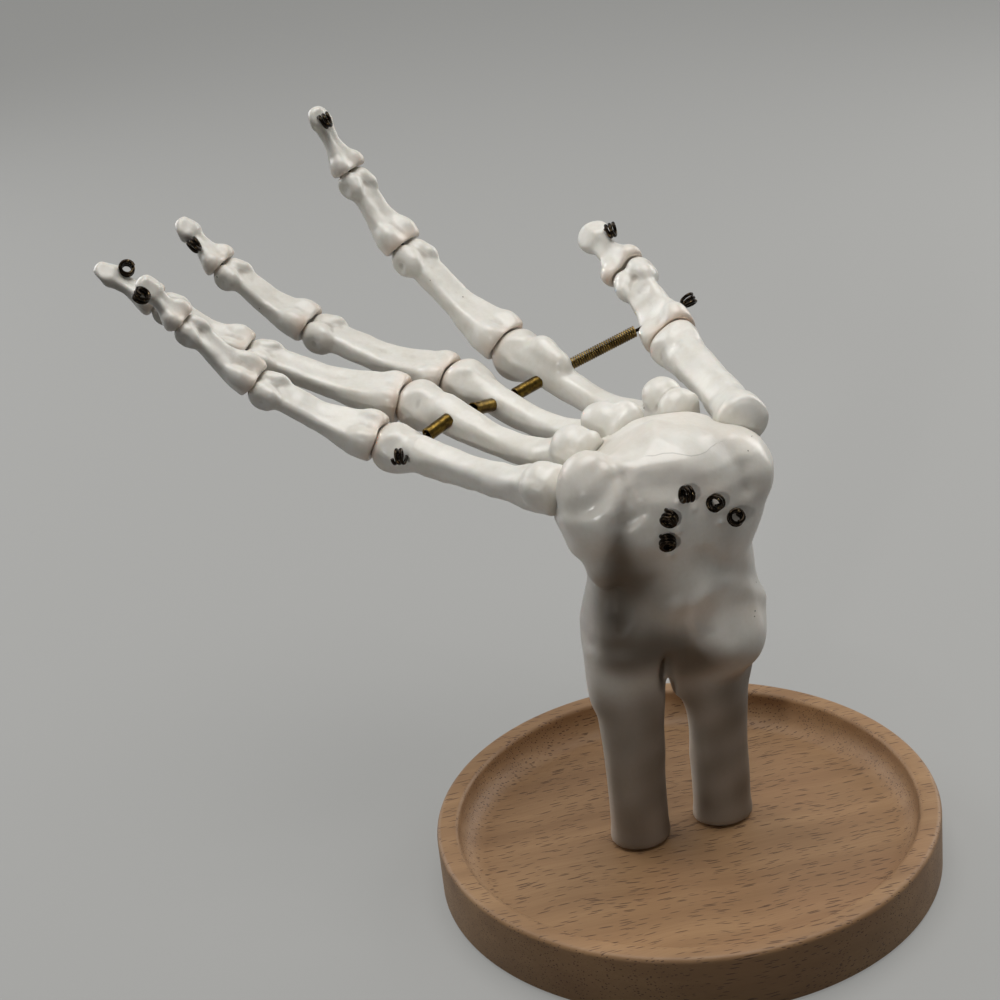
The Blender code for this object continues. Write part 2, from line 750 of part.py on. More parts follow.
def oval_ring(across, depth, height, half_across, half_depth, squareness, sides):
    """A level ring in the block's own measures."""
    ring = []
    for i in range(sides):
        angle = math.tau * i / sides
        c, s = math.cos(angle), math.sin(angle)
        x = math.copysign(abs(c) ** (2 / squareness), c) * half_across
        y = math.copysign(abs(s) ** (2 / squareness), s) * half_depth
        ring.append(block_point(across + x, depth + y, height))
    return ring


def stub_rings(side, half_width):
    """Rings of a forearm stub, from its rounded foot up into the block."""
    foot = floor_height() + STUB_SEAT_GAP
    levels = (
        (foot, -STUB_FOOT_ROUND),
        (foot + 0.4 * STUB_FOOT_ROUND, -0.4 * STUB_FOOT_ROUND),
        (foot + STUB_FOOT_ROUND, 0.0),
        (0.35 * STUB_TOP, -0.02 * half_width),
        (0.65 * STUB_TOP, 0.45 * STUB_TOP_FLARE),
        (0.85 * STUB_TOP, STUB_TOP_FLARE),
        (STUB_TOP, STUB_TOP_FLARE),
    )
    return [
        oval_ring(stub_centre(side), STUB_DEPTH, height, half_width + grow, STUB_HALF_DEPTH + grow, 2.0,
                  BLOCK_SIDES)
        for height, grow in levels
    ]


def add_swelling(bm, across, depth, height, half_across, half_depth, half_height):
    """An egg-shaped swelling, turned with the block."""
    turn = Matrix.Rotation(STUB_LINE_AZIMUTH, 4, "Z")
    place = Matrix.Translation(block_point(across, depth, height)) @ turn
    sizes = Matrix.Diagonal((half_across, half_depth, half_height, 1.0))
    bmesh.ops.create_uvsphere(bm, u_segments=20, v_segments=12, radius=1.0, matrix=place @ sizes)


def make_wrist_block(metacarpal_tools, tunnel_tools):
    """Carpus, forearm ends and two stubs in one hand-formed piece, cut for the bones and the wires."""
    bm = bmesh.new()
    torso = [
        oval_ring((near + far) / 2, BLOCK_DEPTH_SHIFT * share, height, (far - near) / 2,
                  BLOCK_HALF_DEPTH * share, BLOCK_SQUARENESS, BLOCK_SIDES)
        for height, near, far, share in BLOCK_RINGS
    ]
    skin(bm, torso)
    skin(bm, stub_rings(-1, STUB_ULNA_HALF_WIDTH))
    skin(bm, stub_rings(1, STUB_RADIUS_HALF_WIDTH))
    for swelling in BLOCK_SWELLINGS:
        add_swelling(bm, *swelling)
    block = add_object("wrist_block", bm, block_material(), 80.0)
    fuse = block.modifiers.new("fuse", "REMESH")
    fuse.mode = "VOXEL"
    fuse.voxel_size = BLOCK_VOXEL
    fuse.use_smooth_shade = True
    soften = block.modifiers.new("soften", "SMOOTH")
    soften.factor = 0.5
    soften.iterations = BLOCK_SMOOTH_STEPS
    thin = block.modifiers.new("thin", "DECIMATE")
    thin.ratio = BLOCK_FACE_RATIO
    bm = bmesh.new()
    floor = floor_height() + STUB_SEAT_GAP
    reach = STUB_SPACING + 10.0 * MM
    corners = ((-1, -1), (1, -1), (1, 1), (-1, 1))
    low = [block_point(x * reach, y * reach, floor - 5.0 * MM) for x, y in corners]
    skin(bm, [low, [point + Vector((0, 0, 5.0 * MM)) for point in low]])
    cut(block, add_cutter("cut_feet", bm))
    for tool in metacarpal_tools + tunnel_tools:
        cut(block, tool)
    for name, side in (("ulna", -1), ("radius", 1)):
        start = block_point(stub_centre(side), STUB_DEPTH, floor_height() - 1.0 * MM)
        end = block_point(stub_centre(side), STUB_DEPTH, floor_height() + SCREW_GRIP + SCREW_CLEARANCE)
        shank = SCREW_SHANK_RADIUS + SCREW_CLEARANCE
        cut(block, straight_bore(f"cut_stub_{name}", start, end, shank, SCREW_SIDES))
    return block


# Finger wires

def tunnel_points(finger, frame):
    """Route of a finger's wire inside the wrist block, from its exit to the metacarpal's base."""
    face = block_point(0.0, 1.0, 0.0) - block_point(0.0, 0.0, 0.0)
    exit_point = block_point(finger.exit.across, FACE_DEPTH, finger.exit.height)
    base, first = metacarpal_route(finger, frame)[:2]
    inwards = (base - first).normalized()
    return bezier(exit_point, exit_point - face * TUNNEL_END_HANDLE, base + inwards * TUNNEL_START_HANDLE,
                  base, TUNNEL_POINTS)


def tip_exit(finger):
    """Where the wire turns out of the last bone: distance from the hinge, and reach of the surface there."""
    bone = finger.shafts[-1]
    along = bone.length - finger.eye.back
    rings = phalanx_rings(finger, len(finger.shafts) - 1)
    turn = math.radians(finger.eye.hole_turn)
    start = Vector((along, 0, 0))
    return along, bone_reach(rings, start, Vector((0, math.sin(turn), math.cos(turn))))


def tip_eye_points(finger, frame):
    """The short stretch in the last bone and the eye on its palm side."""
    along, surface = tip_exit(finger)
    eye = finger.eye
    outward = Matrix.Rotation(-math.radians(eye.hole_turn), 3, "X") @ Vector((0, 0, 1))
    across = Matrix.Rotation(-math.radians(eye.hole_turn), 3, "X") @ Vector((0, 1, 0))
    axis = Matrix.Rotation(math.radians(eye.axis_turn), 3, outward) @ across
    start = Vector((along, 0, 0))
    points = [start - Vector((TIP_SPLIT_BACK - WIRE_SPLIT_GAP, 0, 0)), start - Vector((WIRE_RADIUS, 0, 0)),
              start + outward * WIRE_RADIUS]
    points += eye_points(start + outward * surface, outward, axis, eye.side)
    return [frame @ point for point in points]


def finger_wire_points(finger, frames):
    """A finger's wire from its eye on the wrist, through the block and the bones, into the last bone."""
    tunnel = tunnel_points(finger, frames[0])
    outward = (tunnel[0] - tunnel[1]).normalized()
    axis = Matrix.Rotation(math.radians(finger.exit.turn), 3, outward) @ Vector((0, 0, 1))
    eye = eye_points(tunnel[0] + outward * WRIST_EYE_STAND, outward, axis, finger.exit.side)
    points = list(reversed(eye)) + tunnel[:-1] + metacarpal_route(finger, frames[0])
    points += [frame.translation for frame in frames[2:]]
    points.append(frames[-1] @ Vector((tip_exit(finger)[0] - TIP_SPLIT_BACK, 0, 0)))
    return points, eye


def tunnel_cutter(name, points):
    """A round cutter along a route, with square ends."""
    bore = WIRE_RADIUS + WIRE_CLEARANCE
    bm = bmesh.new()
    rings = []
    side = None
    for i, point in enumerate(points):
        before = points[max(0, i - 1)]
        after = points[min(len(points) - 1, i + 1)]
        axis = (after - before).normalized()
        side = (side or axis.orthogonal())
        side = (side - axis * side.dot(axis)).normalized()
        rings.append(disc(point, axis, bore, 8, side))
    skin(bm, rings)
    return add_cutter(name, bm)


# The hand

def metacarpal_rings(finger, grow=0.0):
    """Cross-sections of a metacarpal; grow widens it all round, for the seat that it lies in."""
    stations = metacarpal_stations(finger)
    bone, joint = finger.shafts[0], finger.knuckles[0]
    cuts = spread(stations, ((2, 0.5), (4, 0.5)))[:-1] + head_cuts(bone.length, joint)
    arch_last = bone.length - finger.arch_end * joint.radius
    rings = bone_rings(stations, cuts, bone, joint, finger.leans[0], grow, arch_last)
    if grow:
        rings[0] = [point - Vector((grow, 0, 0)) for point in rings[0]]
    return rings


def metacarpal_route(finger, frame):
    """Route of the wire along a bowed metacarpal, a little straighter than the bone."""
    bone = finger.shafts[0]
    neck = metacarpal_stations(finger)[-1][0]
    points = []
    for i in range(BORE_POINTS):
        x = bone.length * i / (BORE_POINTS - 1)
        points.append(frame @ Vector((x, 0, -ROUTE_BOW_SHARE * bone.bow * arch_share(x, 0.0, neck))))
    return points


def make_metacarpal(finger, frames):
    """A metacarpal with its wire bore and the slot in its head."""
    name = f"{finger.name}_metacarpal"
    frame, joint = frames[0], finger.knuckles[0]
    made = make_bone(name, frame, metacarpal_rings(finger))
    route = metacarpal_route(finger, frame)
    back = route[0] + (route[0] - route[1]).normalized() * 2.0 * MM
    cut(made, tunnel_cutter(f"cut_{name}_bore", [back] + route))
    cut(made, wire_slot(f"cut_{name}_slot", frames[1], joint, finger.bends[0]))
    return made


def phalanx_rings(finger, index):
    """Cross-sections of a phalanx in its own frame."""
    bone, base_joint = finger.shafts[index], finger.knuckles[index - 1]
    if index == len(finger.shafts) - 1:
        stations = fingertip_stations(bone, base_joint)
        cuts = spread(stations, ((1, 0.3), (1, 0.65), (2, 0.5), (3, 0.5)))
        return bone_rings(stations, cuts, bone)
    head = finger.knuckles[index]
    stations = phalanx_stations(bone, base_joint, head)
    cuts = spread(stations, ((2, 0.5), (3, 0.5)))[:-1] + head_cuts(bone.length, head)
    return bone_rings(stations, cuts, bone, head, finger.leans[index])


def make_phalanx(finger, index, frames):
    """A phalanx with its cup, its wire bore and, unless it is the last, the slot in its head."""
    name = finger_bone_names(finger)[index]
    bone, base_joint, frame = finger.shafts[index], finger.knuckles[index - 1], frames[index]
    last = index == len(finger.shafts) - 1
    made = make_bone(name, frame, phalanx_rings(finger, index))
    cut(made, cup_cutter(f"cut_{name}_cup", frame, base_joint))
    if last:
        along, surface = tip_exit(finger)
        end = frame @ Vector((along + 0.3 * MM, 0, 0))
        turn = Matrix.Rotation(-math.radians(finger.eye.hole_turn), 3, "X")
        top = frame @ (Vector((along, 0, 0)) + turn @ Vector((0, 0, surface + 3.0 * MM)))
        low = frame @ (Vector((along, 0, 0)) + turn @ Vector((0, 0, -0.2 * MM)))
        cut(made, straight_bore(f"cut_{name}_bore", frame.translation, end))
        cut(made, straight_bore(f"cut_{name}_exit", low, top))
    else:
        hinge = frames[index + 1].translation
        cut(made, straight_bore(f"cut_{name}_bore", frame.translation, hinge))
        joint, rest = finger.knuckles[index], finger.bends[index]
        cut(made, wire_slot(f"cut_{name}_slot", frames[index + 1], joint, rest))
    return made


def cross_points(all_frames):
    """Where the knuckle wire passes the middle of each bone, from the little finger to the thumb."""
    places = []
    for finger in reversed(FINGERS[:4]):
        frame = all_frames[finger.name][0]
        places.append(frame @ Vector((finger.shafts[0].length - finger.cross_back, 0, finger.cross_lift)))
    thumb = FINGERS[4]
    places.append(all_frames[thumb.name][1] @ Vector((-thumb.cross_back, 0, thumb.cross_lift)))
    return places


def bone_reach(rings, start, heading):
    """Distance in a bone's frame from a point inside it to its surface, by halving."""
    low, high = 0.0, 15.0 * MM
    for _ in range(24):
        middle = 0.5 * (low + high)
        if inside_rings(rings, start + heading * middle):
            low = middle
        else:
            high = middle
    return low


def placed_reach(rings, frame, point, direction):
    """The same distance for a point and a direction in the world."""
    local = frame.inverted()
    return bone_reach(rings, local @ point, (local.to_3x3() @ direction).normalized())


def inside_rings(rings, point):
    """Whether a point in a bone's frame lies inside the bone's cross-section there."""
    for first, second in zip(rings, rings[1:]):
        x0, x1 = first[0].x, second[0].x
        if x0 <= point.x <= x1:
            share = (point.x - x0) / max(x1 - x0, 1e-9)
            ring = [p.lerp(q, share) for p, q in zip(first, second)]
            middle_z = sum(p.z for p in ring) / len(ring)
            angle = math.atan2(point.z - middle_z, point.y)
            reach = math.hypot(point.y, point.z - middle_z)
            step = math.tau / len(ring)
            index = int(math.floor(angle / step - 0.5)) % len(ring)
            p, q = ring[index], ring[(index + 1) % len(ring)]
            edge_y, edge_z = q.y - p.y, q.z - p.z
            cross = math.cos(angle) * edge_z - math.sin(angle) * edge_y
            limit = (p.y * edge_z - (p.z - middle_z) * edge_y) / cross
            return reach < limit
    return False


def make_tube(name, start, end):
    """A thin brass tube between two bones."""
    axis = end - start
    turn = axis.to_track_quat("Z", "Y").to_matrix().to_4x4()
    bm = bmesh.new()
    inner = TUBE_RADIUS - TUBE_WALL
    profile = [(inner, 0.0), (TUBE_RADIUS, 0.0), (TUBE_RADIUS, axis.length), (inner, axis.length)]
    turned(bm, profile, TUBE_SIDES, Matrix.Translation(start) @ turn)
    return add_object(name, bm, brass_material(), 40.0)


def helix_points(start, end, radius, pitch, points_per_turn):
    """Points of a coil from start to end, an even pitch that fits the length."""
    axis = end - start
    turns = max(1, round(axis.length / pitch))
    side = axis.orthogonal().normalized()
    other = axis.normalized().cross(side)
    points = []
    for i in range(turns * points_per_turn + 1):
        angle = math.tau * i / points_per_turn
        points.append(start + axis * (i / (turns * points_per_turn))
                      + radius * (math.cos(angle) * side + math.sin(angle) * other))
    return points


def make_cross_wire(all_frames, solids):
    """The knuckle wire with its spacer tubes, its spring to the thumb, and an eye at either end."""
    places = cross_points(all_frames)
    carriers = [FINGERS[3], FINGERS[2], FINGERS[1], FINGERS[0]]
    rings = [metacarpal_rings(finger) for finger in carriers]
    frames = [all_frames[finger.name][0] for finger in carriers]
    thumb = FINGERS[4]
    rings.append(phalanx_rings(thumb, 1))
    frames.append(all_frames[thumb.name][1])
    names = ("little_ring_tube", "ring_middle_tube", "middle_index_tube", "thumb_spring")
    spans = []
    for k, name in enumerate(names):
        heading = (places[k + 1] - places[k]).normalized()
        leave = placed_reach(rings[k], frames[k], places[k], heading)
        arrive = placed_reach(rings[k + 1], frames[k + 1], places[k + 1], -heading)
        gap = TUBE_END_GAP + TUBE_END_SLOPE
        sunk = TUBE_SEAT_DEPTH if k < 3 else -gap
        spans.append((places[k] + heading * (leave + gap), places[k + 1] - heading * (arrive - sunk)))
    for name, (start, end), finger in zip(names[:3], spans, carriers[1:]):
        make_tube(name, start, end)
        heading = (end - start).normalized()
        seat = straight_bore(f"cut_{name}_seat", end - heading * CROSS_BORE_REACH,
                             end + heading * TUBE_SEAT_GAP, TUBE_RADIUS + TUBE_SEAT_GAP, TUBE_SIDES)
        cut(solids[f"{finger.name}_metacarpal"], seat)
    coil = helix_points(*spans[3], SPRING_RADIUS, SPRING_PITCH, SPRING_POINTS)
    tube_curve("thumb_spring", coil, SPRING_WIRE_RADIUS, brass_material())
    print("thumb_spring least gap to itself, mm:",
          round(least_self_gap(coil, SPRING_WIRE_RADIUS) / MM, 3), "curls:", len(coil) // SPRING_POINTS)
    little_turn = all_frames["little"][0].to_3x3()
    little_heading = (little_turn @ CROSS_EYE_HEADING).normalized()
    leave = placed_reach(rings[0], frames[0], places[0], little_heading)
    little_start = places[0] + little_heading * (leave + CROSS_EYE_STAND)
    little_eye = eye_points(little_start, little_heading, little_turn @ CROSS_EYE_AXIS, 1)
    split = places[4] - (places[4] - places[3]).normalized() * WIRE_SPLIT_GAP
    route = list(reversed(little_eye)) + places[:4] + [split]
    tube_curve("knuckle_wire", route, WIRE_RADIUS, bronze_material())
    thumb_heading = (places[4] - places[3]).normalized()
    leave = placed_reach(rings[4], frames[4], places[4], thumb_heading)
    thumb_axis = all_frames["thumb"][1].to_3x3() @ Vector((1, 0, 0.6))
    thumb_start = places[4] + thumb_heading * (leave + CROSS_EYE_STAND)
    thumb_eye = eye_points(thumb_start, thumb_heading, thumb_axis, 1)
    tube_curve("thumb_wire_end", [places[4]] + thumb_eye, WIRE_RADIUS, bronze_material())
    report_eye("knuckle_wire", little_eye)
    for k, finger in enumerate(carriers):
        before = places[k - 1] if k else places[0] + little_heading * 15.0 * MM
        reach_before = (before - places[k]).normalized() * CROSS_BORE_REACH
        reach_after = (places[k + 1] - places[k]).normalized() * CROSS_BORE_REACH
        target = solids[f"{finger.name}_metacarpal"]
        for part, reach in (("near", reach_before), ("far", reach_after)):
            overlap = reach.normalized() * 0.3 * MM
            tool = straight_bore(f"cut_cross_{finger.name}_{part}", places[k] - overlap, places[k] + reach)
            cut(target, tool)
    reach = thumb_heading * CROSS_BORE_REACH
    cut(solids["thumb_proximal"], straight_bore("cut_cross_thumb", places[4] - reach, places[4] + reach))


def report_eye(name, eye):
    """Print how far an eye's wire stays from itself."""
    print(name, "eye least gap to itself, mm:", round(least_self_gap(eye[1:], WIRE_RADIUS) / MM, 3))


def build_hand(all_frames):
    """Bones, wires, tubes and spring, and the wrist block cut to seat them."""
    solids = {}
    seats, tunnels = [], []
    for finger in FINGERS:
        frames = all_frames[finger.name]
        solids[f"{finger.name}_metacarpal"] = make_metacarpal(finger, frames)
        for index, name in enumerate(finger_bone_names(finger)):
            if index:
                solids[name] = make_phalanx(finger, index, frames)
        bm = bmesh.new()
        skin(bm, metacarpal_rings(finger, SEAT_GAP))
        bm.transform(frames[0])
        seats.append(add_cutter(f"cut_seat_{finger.name}", bm))
        route = tunnel_points(finger, frames[0])
        outside = route[0] + (route[0] - route[1]).normalized() * 6.0 * MM
        inside = route[-1] + (route[-1] - route[-2]).normalized() * 1.5 * MM
        tunnels.append(tunnel_cutter(f"cut_tunnel_{finger.name}", [outside] + route + [inside]))
        wire, eye = finger_wire_points(finger, frames)
        tube_curve(f"{finger.name}_wire", wire, WIRE_RADIUS, bronze_material())
        tip_eye = tip_eye_points(finger, frames[-1])
        tube_curve(f"{finger.name}_tip_eye", tip_eye, WIRE_RADIUS, bronze_material())
        report_eye(f"{finger.name}_wire", eye)
    make_wrist_block(seats, tunnels)
    make_cross_wire(all_frames, solids)


def main():
    """Build every piece of the holder."""
    for old in list(bpy.data.objects):
        bpy.data.objects.remove(old, do_unlink=True)
    all_frames = {finger.name: finger_frames(finger) for finger in FINGERS}
    make_tray()
    make_screw("ulna_screw", -1)
    make_screw("radius_screw", 1)
    build_hand(all_frames)


if __name__ == "__main__":
    main()
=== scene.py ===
"""Looks of the skeleton hand jewelry holder: strung ivory bones, wound bronze wire, brass and a beech tray.

Lengths are in millimetres and angles in degrees until a mesh is made; meshes are in metres.
A bone's own measures: x from its base to its tip, y to the little finger's side, z out of the palm.
"""
import logging
import math
from dataclasses import dataclass, field
from enum import Enum

import bmesh
import bpy
import numpy as np
from mathutils import Matrix, Vector


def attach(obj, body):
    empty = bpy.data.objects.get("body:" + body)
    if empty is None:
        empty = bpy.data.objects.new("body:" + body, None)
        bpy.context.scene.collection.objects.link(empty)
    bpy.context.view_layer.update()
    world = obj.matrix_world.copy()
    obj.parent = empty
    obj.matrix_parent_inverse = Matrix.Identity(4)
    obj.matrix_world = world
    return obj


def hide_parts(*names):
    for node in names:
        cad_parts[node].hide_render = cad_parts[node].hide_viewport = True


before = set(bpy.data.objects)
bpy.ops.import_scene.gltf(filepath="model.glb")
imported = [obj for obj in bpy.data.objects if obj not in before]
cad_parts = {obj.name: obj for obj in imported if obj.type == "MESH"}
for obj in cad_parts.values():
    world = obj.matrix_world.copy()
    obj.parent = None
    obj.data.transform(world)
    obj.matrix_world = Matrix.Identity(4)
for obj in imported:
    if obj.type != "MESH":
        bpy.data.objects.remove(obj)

MM = 0.001
MM_PER_METRE = 1000.0
log = logging.getLogger("jewelry_holder")


# Shader groups

class Nodes:
    """A short way to add and link nodes in one tree."""

    def __init__(self, tree: bpy.types.NodeTree) -> None:
        """Keep the tree that the nodes go in."""
        self.tree = tree

    def feed(self, node: bpy.types.Node, inputs: dict) -> None:
        """Set a node's inputs, by name or number, from plain values or from sockets to link."""
        for name, value in inputs.items():
            if isinstance(value, bpy.types.NodeSocket):
                self.tree.links.new(value, node.inputs[name])
            else:
                node.inputs[name].default_value = value

    def add(self, kind: str, inputs: dict | None = None, **settings: object) -> bpy.types.Node:
        """Add a node.

        Args:
            kind: The node's type name.
            inputs: Values, or sockets to link from, by input name or number.
            settings: Attributes to set on the node.

        Returns:
            The new node.
        """
        node = self.tree.nodes.new(kind)
        for name, value in settings.items():
            setattr(node, name, value)
        self.feed(node, inputs or {})
        return node

    def math(self, operation: str, first: object, second: object, clamp: bool = False) -> bpy.types.NodeSocket:
        """Add a Math node and return its value socket."""
        made = self.add("ShaderNodeMath", {0: first, 1: second}, operation=operation, use_clamp=clamp)
        return made.outputs[0]

    def times(self, first: object, second: object, clamp: bool = False) -> bpy.types.NodeSocket:
        """Multiply two values, held between 0 and 1 if asked."""
        return self.math("MULTIPLY", first, second, clamp)

    def plus(self, first: object, second: object) -> bpy.types.NodeSocket:
        """Add two values."""
        return self.math("ADD", first, second)

    def minus(self, first: object, second: object) -> bpy.types.NodeSocket:
        """Take the second value from the first."""
        return self.math("SUBTRACT", first, second)

    def blend(self, share: object, first: object, second: object) -> bpy.types.NodeSocket:
        """Mix two colours by a share and return the colour socket."""
        return self.add("ShaderNodeMix", {0: share, 6: first, 7: second}, data_type="RGBA").outputs[2]

    def stretch(self, value: object, low: float, high: float, to_low: float = 0.0,
                to_high: float = 1.0) -> bpy.types.NodeSocket:
        """Map a range of values to another, clamped, and return the socket."""
        return self.add("ShaderNodeMapRange", {0: value, 1: low, 2: high, 3: to_low, 4: to_high}).outputs[0]

    def mark(self, name: str) -> bpy.types.NodeSocket:
        """The value that the mesh holds under a name."""
        return self.add("ShaderNodeAttribute", attribute_name=name).outputs["Fac"]

    def scale_of(self, size: object) -> bpy.types.NodeSocket:
        """Texture scale for forms of a size in millimetres."""
        return self.math("DIVIDE", MM_PER_METRE, size)

    def noise(self, place: object, scale: object, detail: float,
              roughness: float = 0.5) -> bpy.types.NodeSocket:
        """Cloudy noise of 0 to 1 at a place."""
        return self.add("ShaderNodeTexNoise", {"Vector": place, "Scale": scale, "Detail": detail,
                                               "Roughness": roughness}).outputs[0]

    def cells(self, place: object, scale: object) -> tuple[bpy.types.NodeSocket, list]:
        """Scattered points: the distance to the nearest one, and three random numbers that belong to it."""
        made = self.add("ShaderNodeTexVoronoi", {"Vector": place, "Scale": scale, "Randomness": 1.0}).outputs
        return made["Distance"], list(self.add("ShaderNodeSeparateColor", {0: made["Color"]}).outputs)


def new_group(name: str, inputs: dict[str, float],
              outputs: tuple[str, ...]) -> tuple[Nodes, dict, bpy.types.NodeSocket]:
    """Start a shader node group.

    Args:
        name: The group's name.
        inputs: Float inputs and their defaults.
        outputs: Names of its float outputs.

    Returns:
        A node adder for it, its inputs as sockets by name, and the object's own place.
    """
    tree = bpy.data.node_groups.new(name, "ShaderNodeTree")
    for label, value in inputs.items():
        tree.interface.new_socket(label, in_out="INPUT", socket_type="NodeSocketFloat").default_value = value
    for label in outputs:
        tree.interface.new_socket(label, in_out="OUTPUT", socket_type="NodeSocketFloat")
    n = Nodes(tree)
    start = n.add("NodeGroupInput").outputs
    return n, {label: start[label] for label in inputs}, n.add("ShaderNodeTexCoord").outputs["Object"]


def wash_and_shade_group() -> bpy.types.NodeTree:
    """Grey-brown colour that gathers in hollows, partly a real wash and partly painted shade, broken up by
    clouds, and a faint all-over mottle.
    """
    fine_scale, breakup, edge = 900.0, 0.35, 3.2
    n, given, place = new_group("hollow_wash", {"Hollow": 0.5, "Cloud Size": 8.0, "Start": 0.55,
                                                "Strength": 1.0}, ("Wash", "Mottle"))
    cloud = n.noise(place, n.scale_of(given["Cloud Size"]), 4.0, 0.6)
    fine = n.noise(place, fine_scale, 3.0)
    level = n.minus(n.plus(given["Hollow"], n.times(n.minus(cloud, 0.5), breakup)), given["Start"])
    wash_and_shade = n.times(n.times(level, edge, True), given["Strength"], True)
    n.add("NodeGroupOutput", {"Wash": wash_and_shade, "Mottle": n.times(cloud, n.stretch(fine, 0.3, 0.7, 0.75, 1.0))})
    return n.tree


def relief_group() -> bpy.types.NodeTree:
    """Fine unevenness of a cast or worked surface, with a few tiny pits."""
    rim = 40.0
    n, given, place = new_group("fine_relief", {"Grain Size": 1.2, "Pit Spacing": 3.0, "Pit Size": 0.06,
                                                "Pit Share": 0.2}, ("Height", "Pits"))
    grain = n.noise(place, n.scale_of(given["Grain Size"]), 5.0, 0.55)
    distance, random = n.cells(place, n.scale_of(given["Pit Spacing"]))
    ragged = n.plus(given["Pit Size"], n.times(grain, given["Pit Size"]))
    picked = n.math("LESS_THAN", random[0], given["Pit Share"])
    pits = n.times(n.times(n.minus(ragged, distance), rim, True), picked)
    n.add("NodeGroupOutput", {"Height": n.minus(grain, pits), "Pits": pits})
    return n.tree


def patina_group() -> bpy.types.NodeTree:
    """Uneven tarnish of a metal: where bare metal shows, where it is dull, and its fine relief."""
    speck_scale, edge = 5200.0, 5.0
    n, given, place = new_group("metal_patina", {"Patch Size": 1.5, "Bare": 0.5},
                                ("Bare Metal", "Dull", "Height"))
    patch = n.noise(place, n.scale_of(given["Patch Size"]), 6.0, 0.65)
    speck = n.noise(place, speck_scale, 2.0)
    bare = n.times(n.minus(patch, n.times(n.minus(1.0, given["Bare"]), 0.9)), edge, True)
    dull = n.times(speck, n.minus(1.0, n.times(bare, 0.5)))
    n.add("NodeGroupOutput", {"Bare Metal": bare, "Dull": dull, "Height": n.plus(n.times(speck, 0.4), patch)})
    return n.tree


def grain_group() -> bpy.types.NodeTree:
    """Grain of beech, turned to the board's own direction: broad bands, fine fibres and short dark pores."""
    tilt, heading, wander, rim = math.radians(2.0), math.radians(-47.0), 0.010, 9.0
    n, given, place = new_group("beech_grain", {"Pore Length": 3.4, "Pore Width": 0.135, "Pore Share": 0.8,
                                                "Band Width": 9.0}, ("Bands", "Fibres", "Pores"))
    turned = n.add("ShaderNodeMapping", {"Vector": place, "Rotation": (0.0, tilt, heading)}).outputs[0]
    along, across, up = n.add("ShaderNodeSeparateXYZ", {0: turned}).outputs
    across = n.plus(across, n.times(n.minus(n.noise(turned, 22.0, 2.0), 0.5), wander))

    def stretched(*sizes: object) -> bpy.types.NodeSocket:
        """Place measured in cells of a length along the grain and widths across it, in millimetres."""
        parts = [n.math("DIVIDE", n.times(axis, MM_PER_METRE), size)
                 for axis, size in zip((along, across, up), sizes)]
        return n.add("ShaderNodeCombineXYZ", dict(enumerate(parts))).outputs[0]

    bands = n.noise(stretched(160.0, given["Band Width"], 7.0), 1.0, 4.0, 0.55)
    fibres = n.noise(stretched(14.0, 0.5, 0.6), 1.0, 3.0)
    spacing = n.times(given["Pore Width"], 3.4)
    distance, random = n.cells(stretched(n.times(given["Pore Length"], 1.5), spacing, spacing), 1.0)
    size = n.plus(0.20, n.times(random[1], 0.22))
    picked = n.math("LESS_THAN", random[0], given["Pore Share"])
    pores = n.times(n.times(n.minus(size, distance), rim, True), picked)
    n.add("NodeGroupOutput", {"Bands": bands, "Fibres": fibres, "Pores": pores})
    return n.tree


class Effect(Enum):
    """Shader groups, each built once and shared by the finishes."""

    WASH = "hollow_wash"
    RELIEF = "fine_relief"
    PATINA = "metal_patina"
    GRAIN = "beech_grain"

    def tree(self) -> bpy.types.NodeTree:
        """The group's tree, built at its first use."""
        makers = {Effect.WASH: wash_and_shade_group, Effect.RELIEF: relief_group, Effect.PATINA: patina_group,
                  Effect.GRAIN: grain_group}
        return bpy.data.node_groups.get(self.value) or makers[self]()


@dataclass(frozen=True)
class Finish:
    """A procedural material with plain values on the shader's own sockets."""

    name: str
    slot: str

    def material(self) -> bpy.types.Material:
        """The finished material, built once."""
        made = bpy.data.materials.get(self.name)
        if made is None:
            made = bpy.data.materials.new(self.name)
            made.use_nodes = True
            self.fill(Nodes(made.node_tree), made.node_tree.nodes["Principled BSDF"])
        return made

    def fill(self, n: Nodes, surface: bpy.types.Node) -> None:
        """Build the finish's nodes into the surface shader."""
        raise NotImplementedError

    @staticmethod
    def effect(n: Nodes, kind: Effect, values: dict) -> dict[str, bpy.types.NodeSocket]:
        """Place a shared group with its own values and give its outputs by name."""
        return dict(n.add("ShaderNodeGroup", values, node_tree=kind.tree()).outputs.items())

    @staticmethod
    def bump(n: Nodes, height: bpy.types.NodeSocket, depth: float) -> bpy.types.NodeSocket:
        """A normal from a height, depth in millimetres."""
        return n.add("ShaderNodeBump", {"Strength": 1.0, "Distance": depth * MM, "Height": height}).outputs[0]


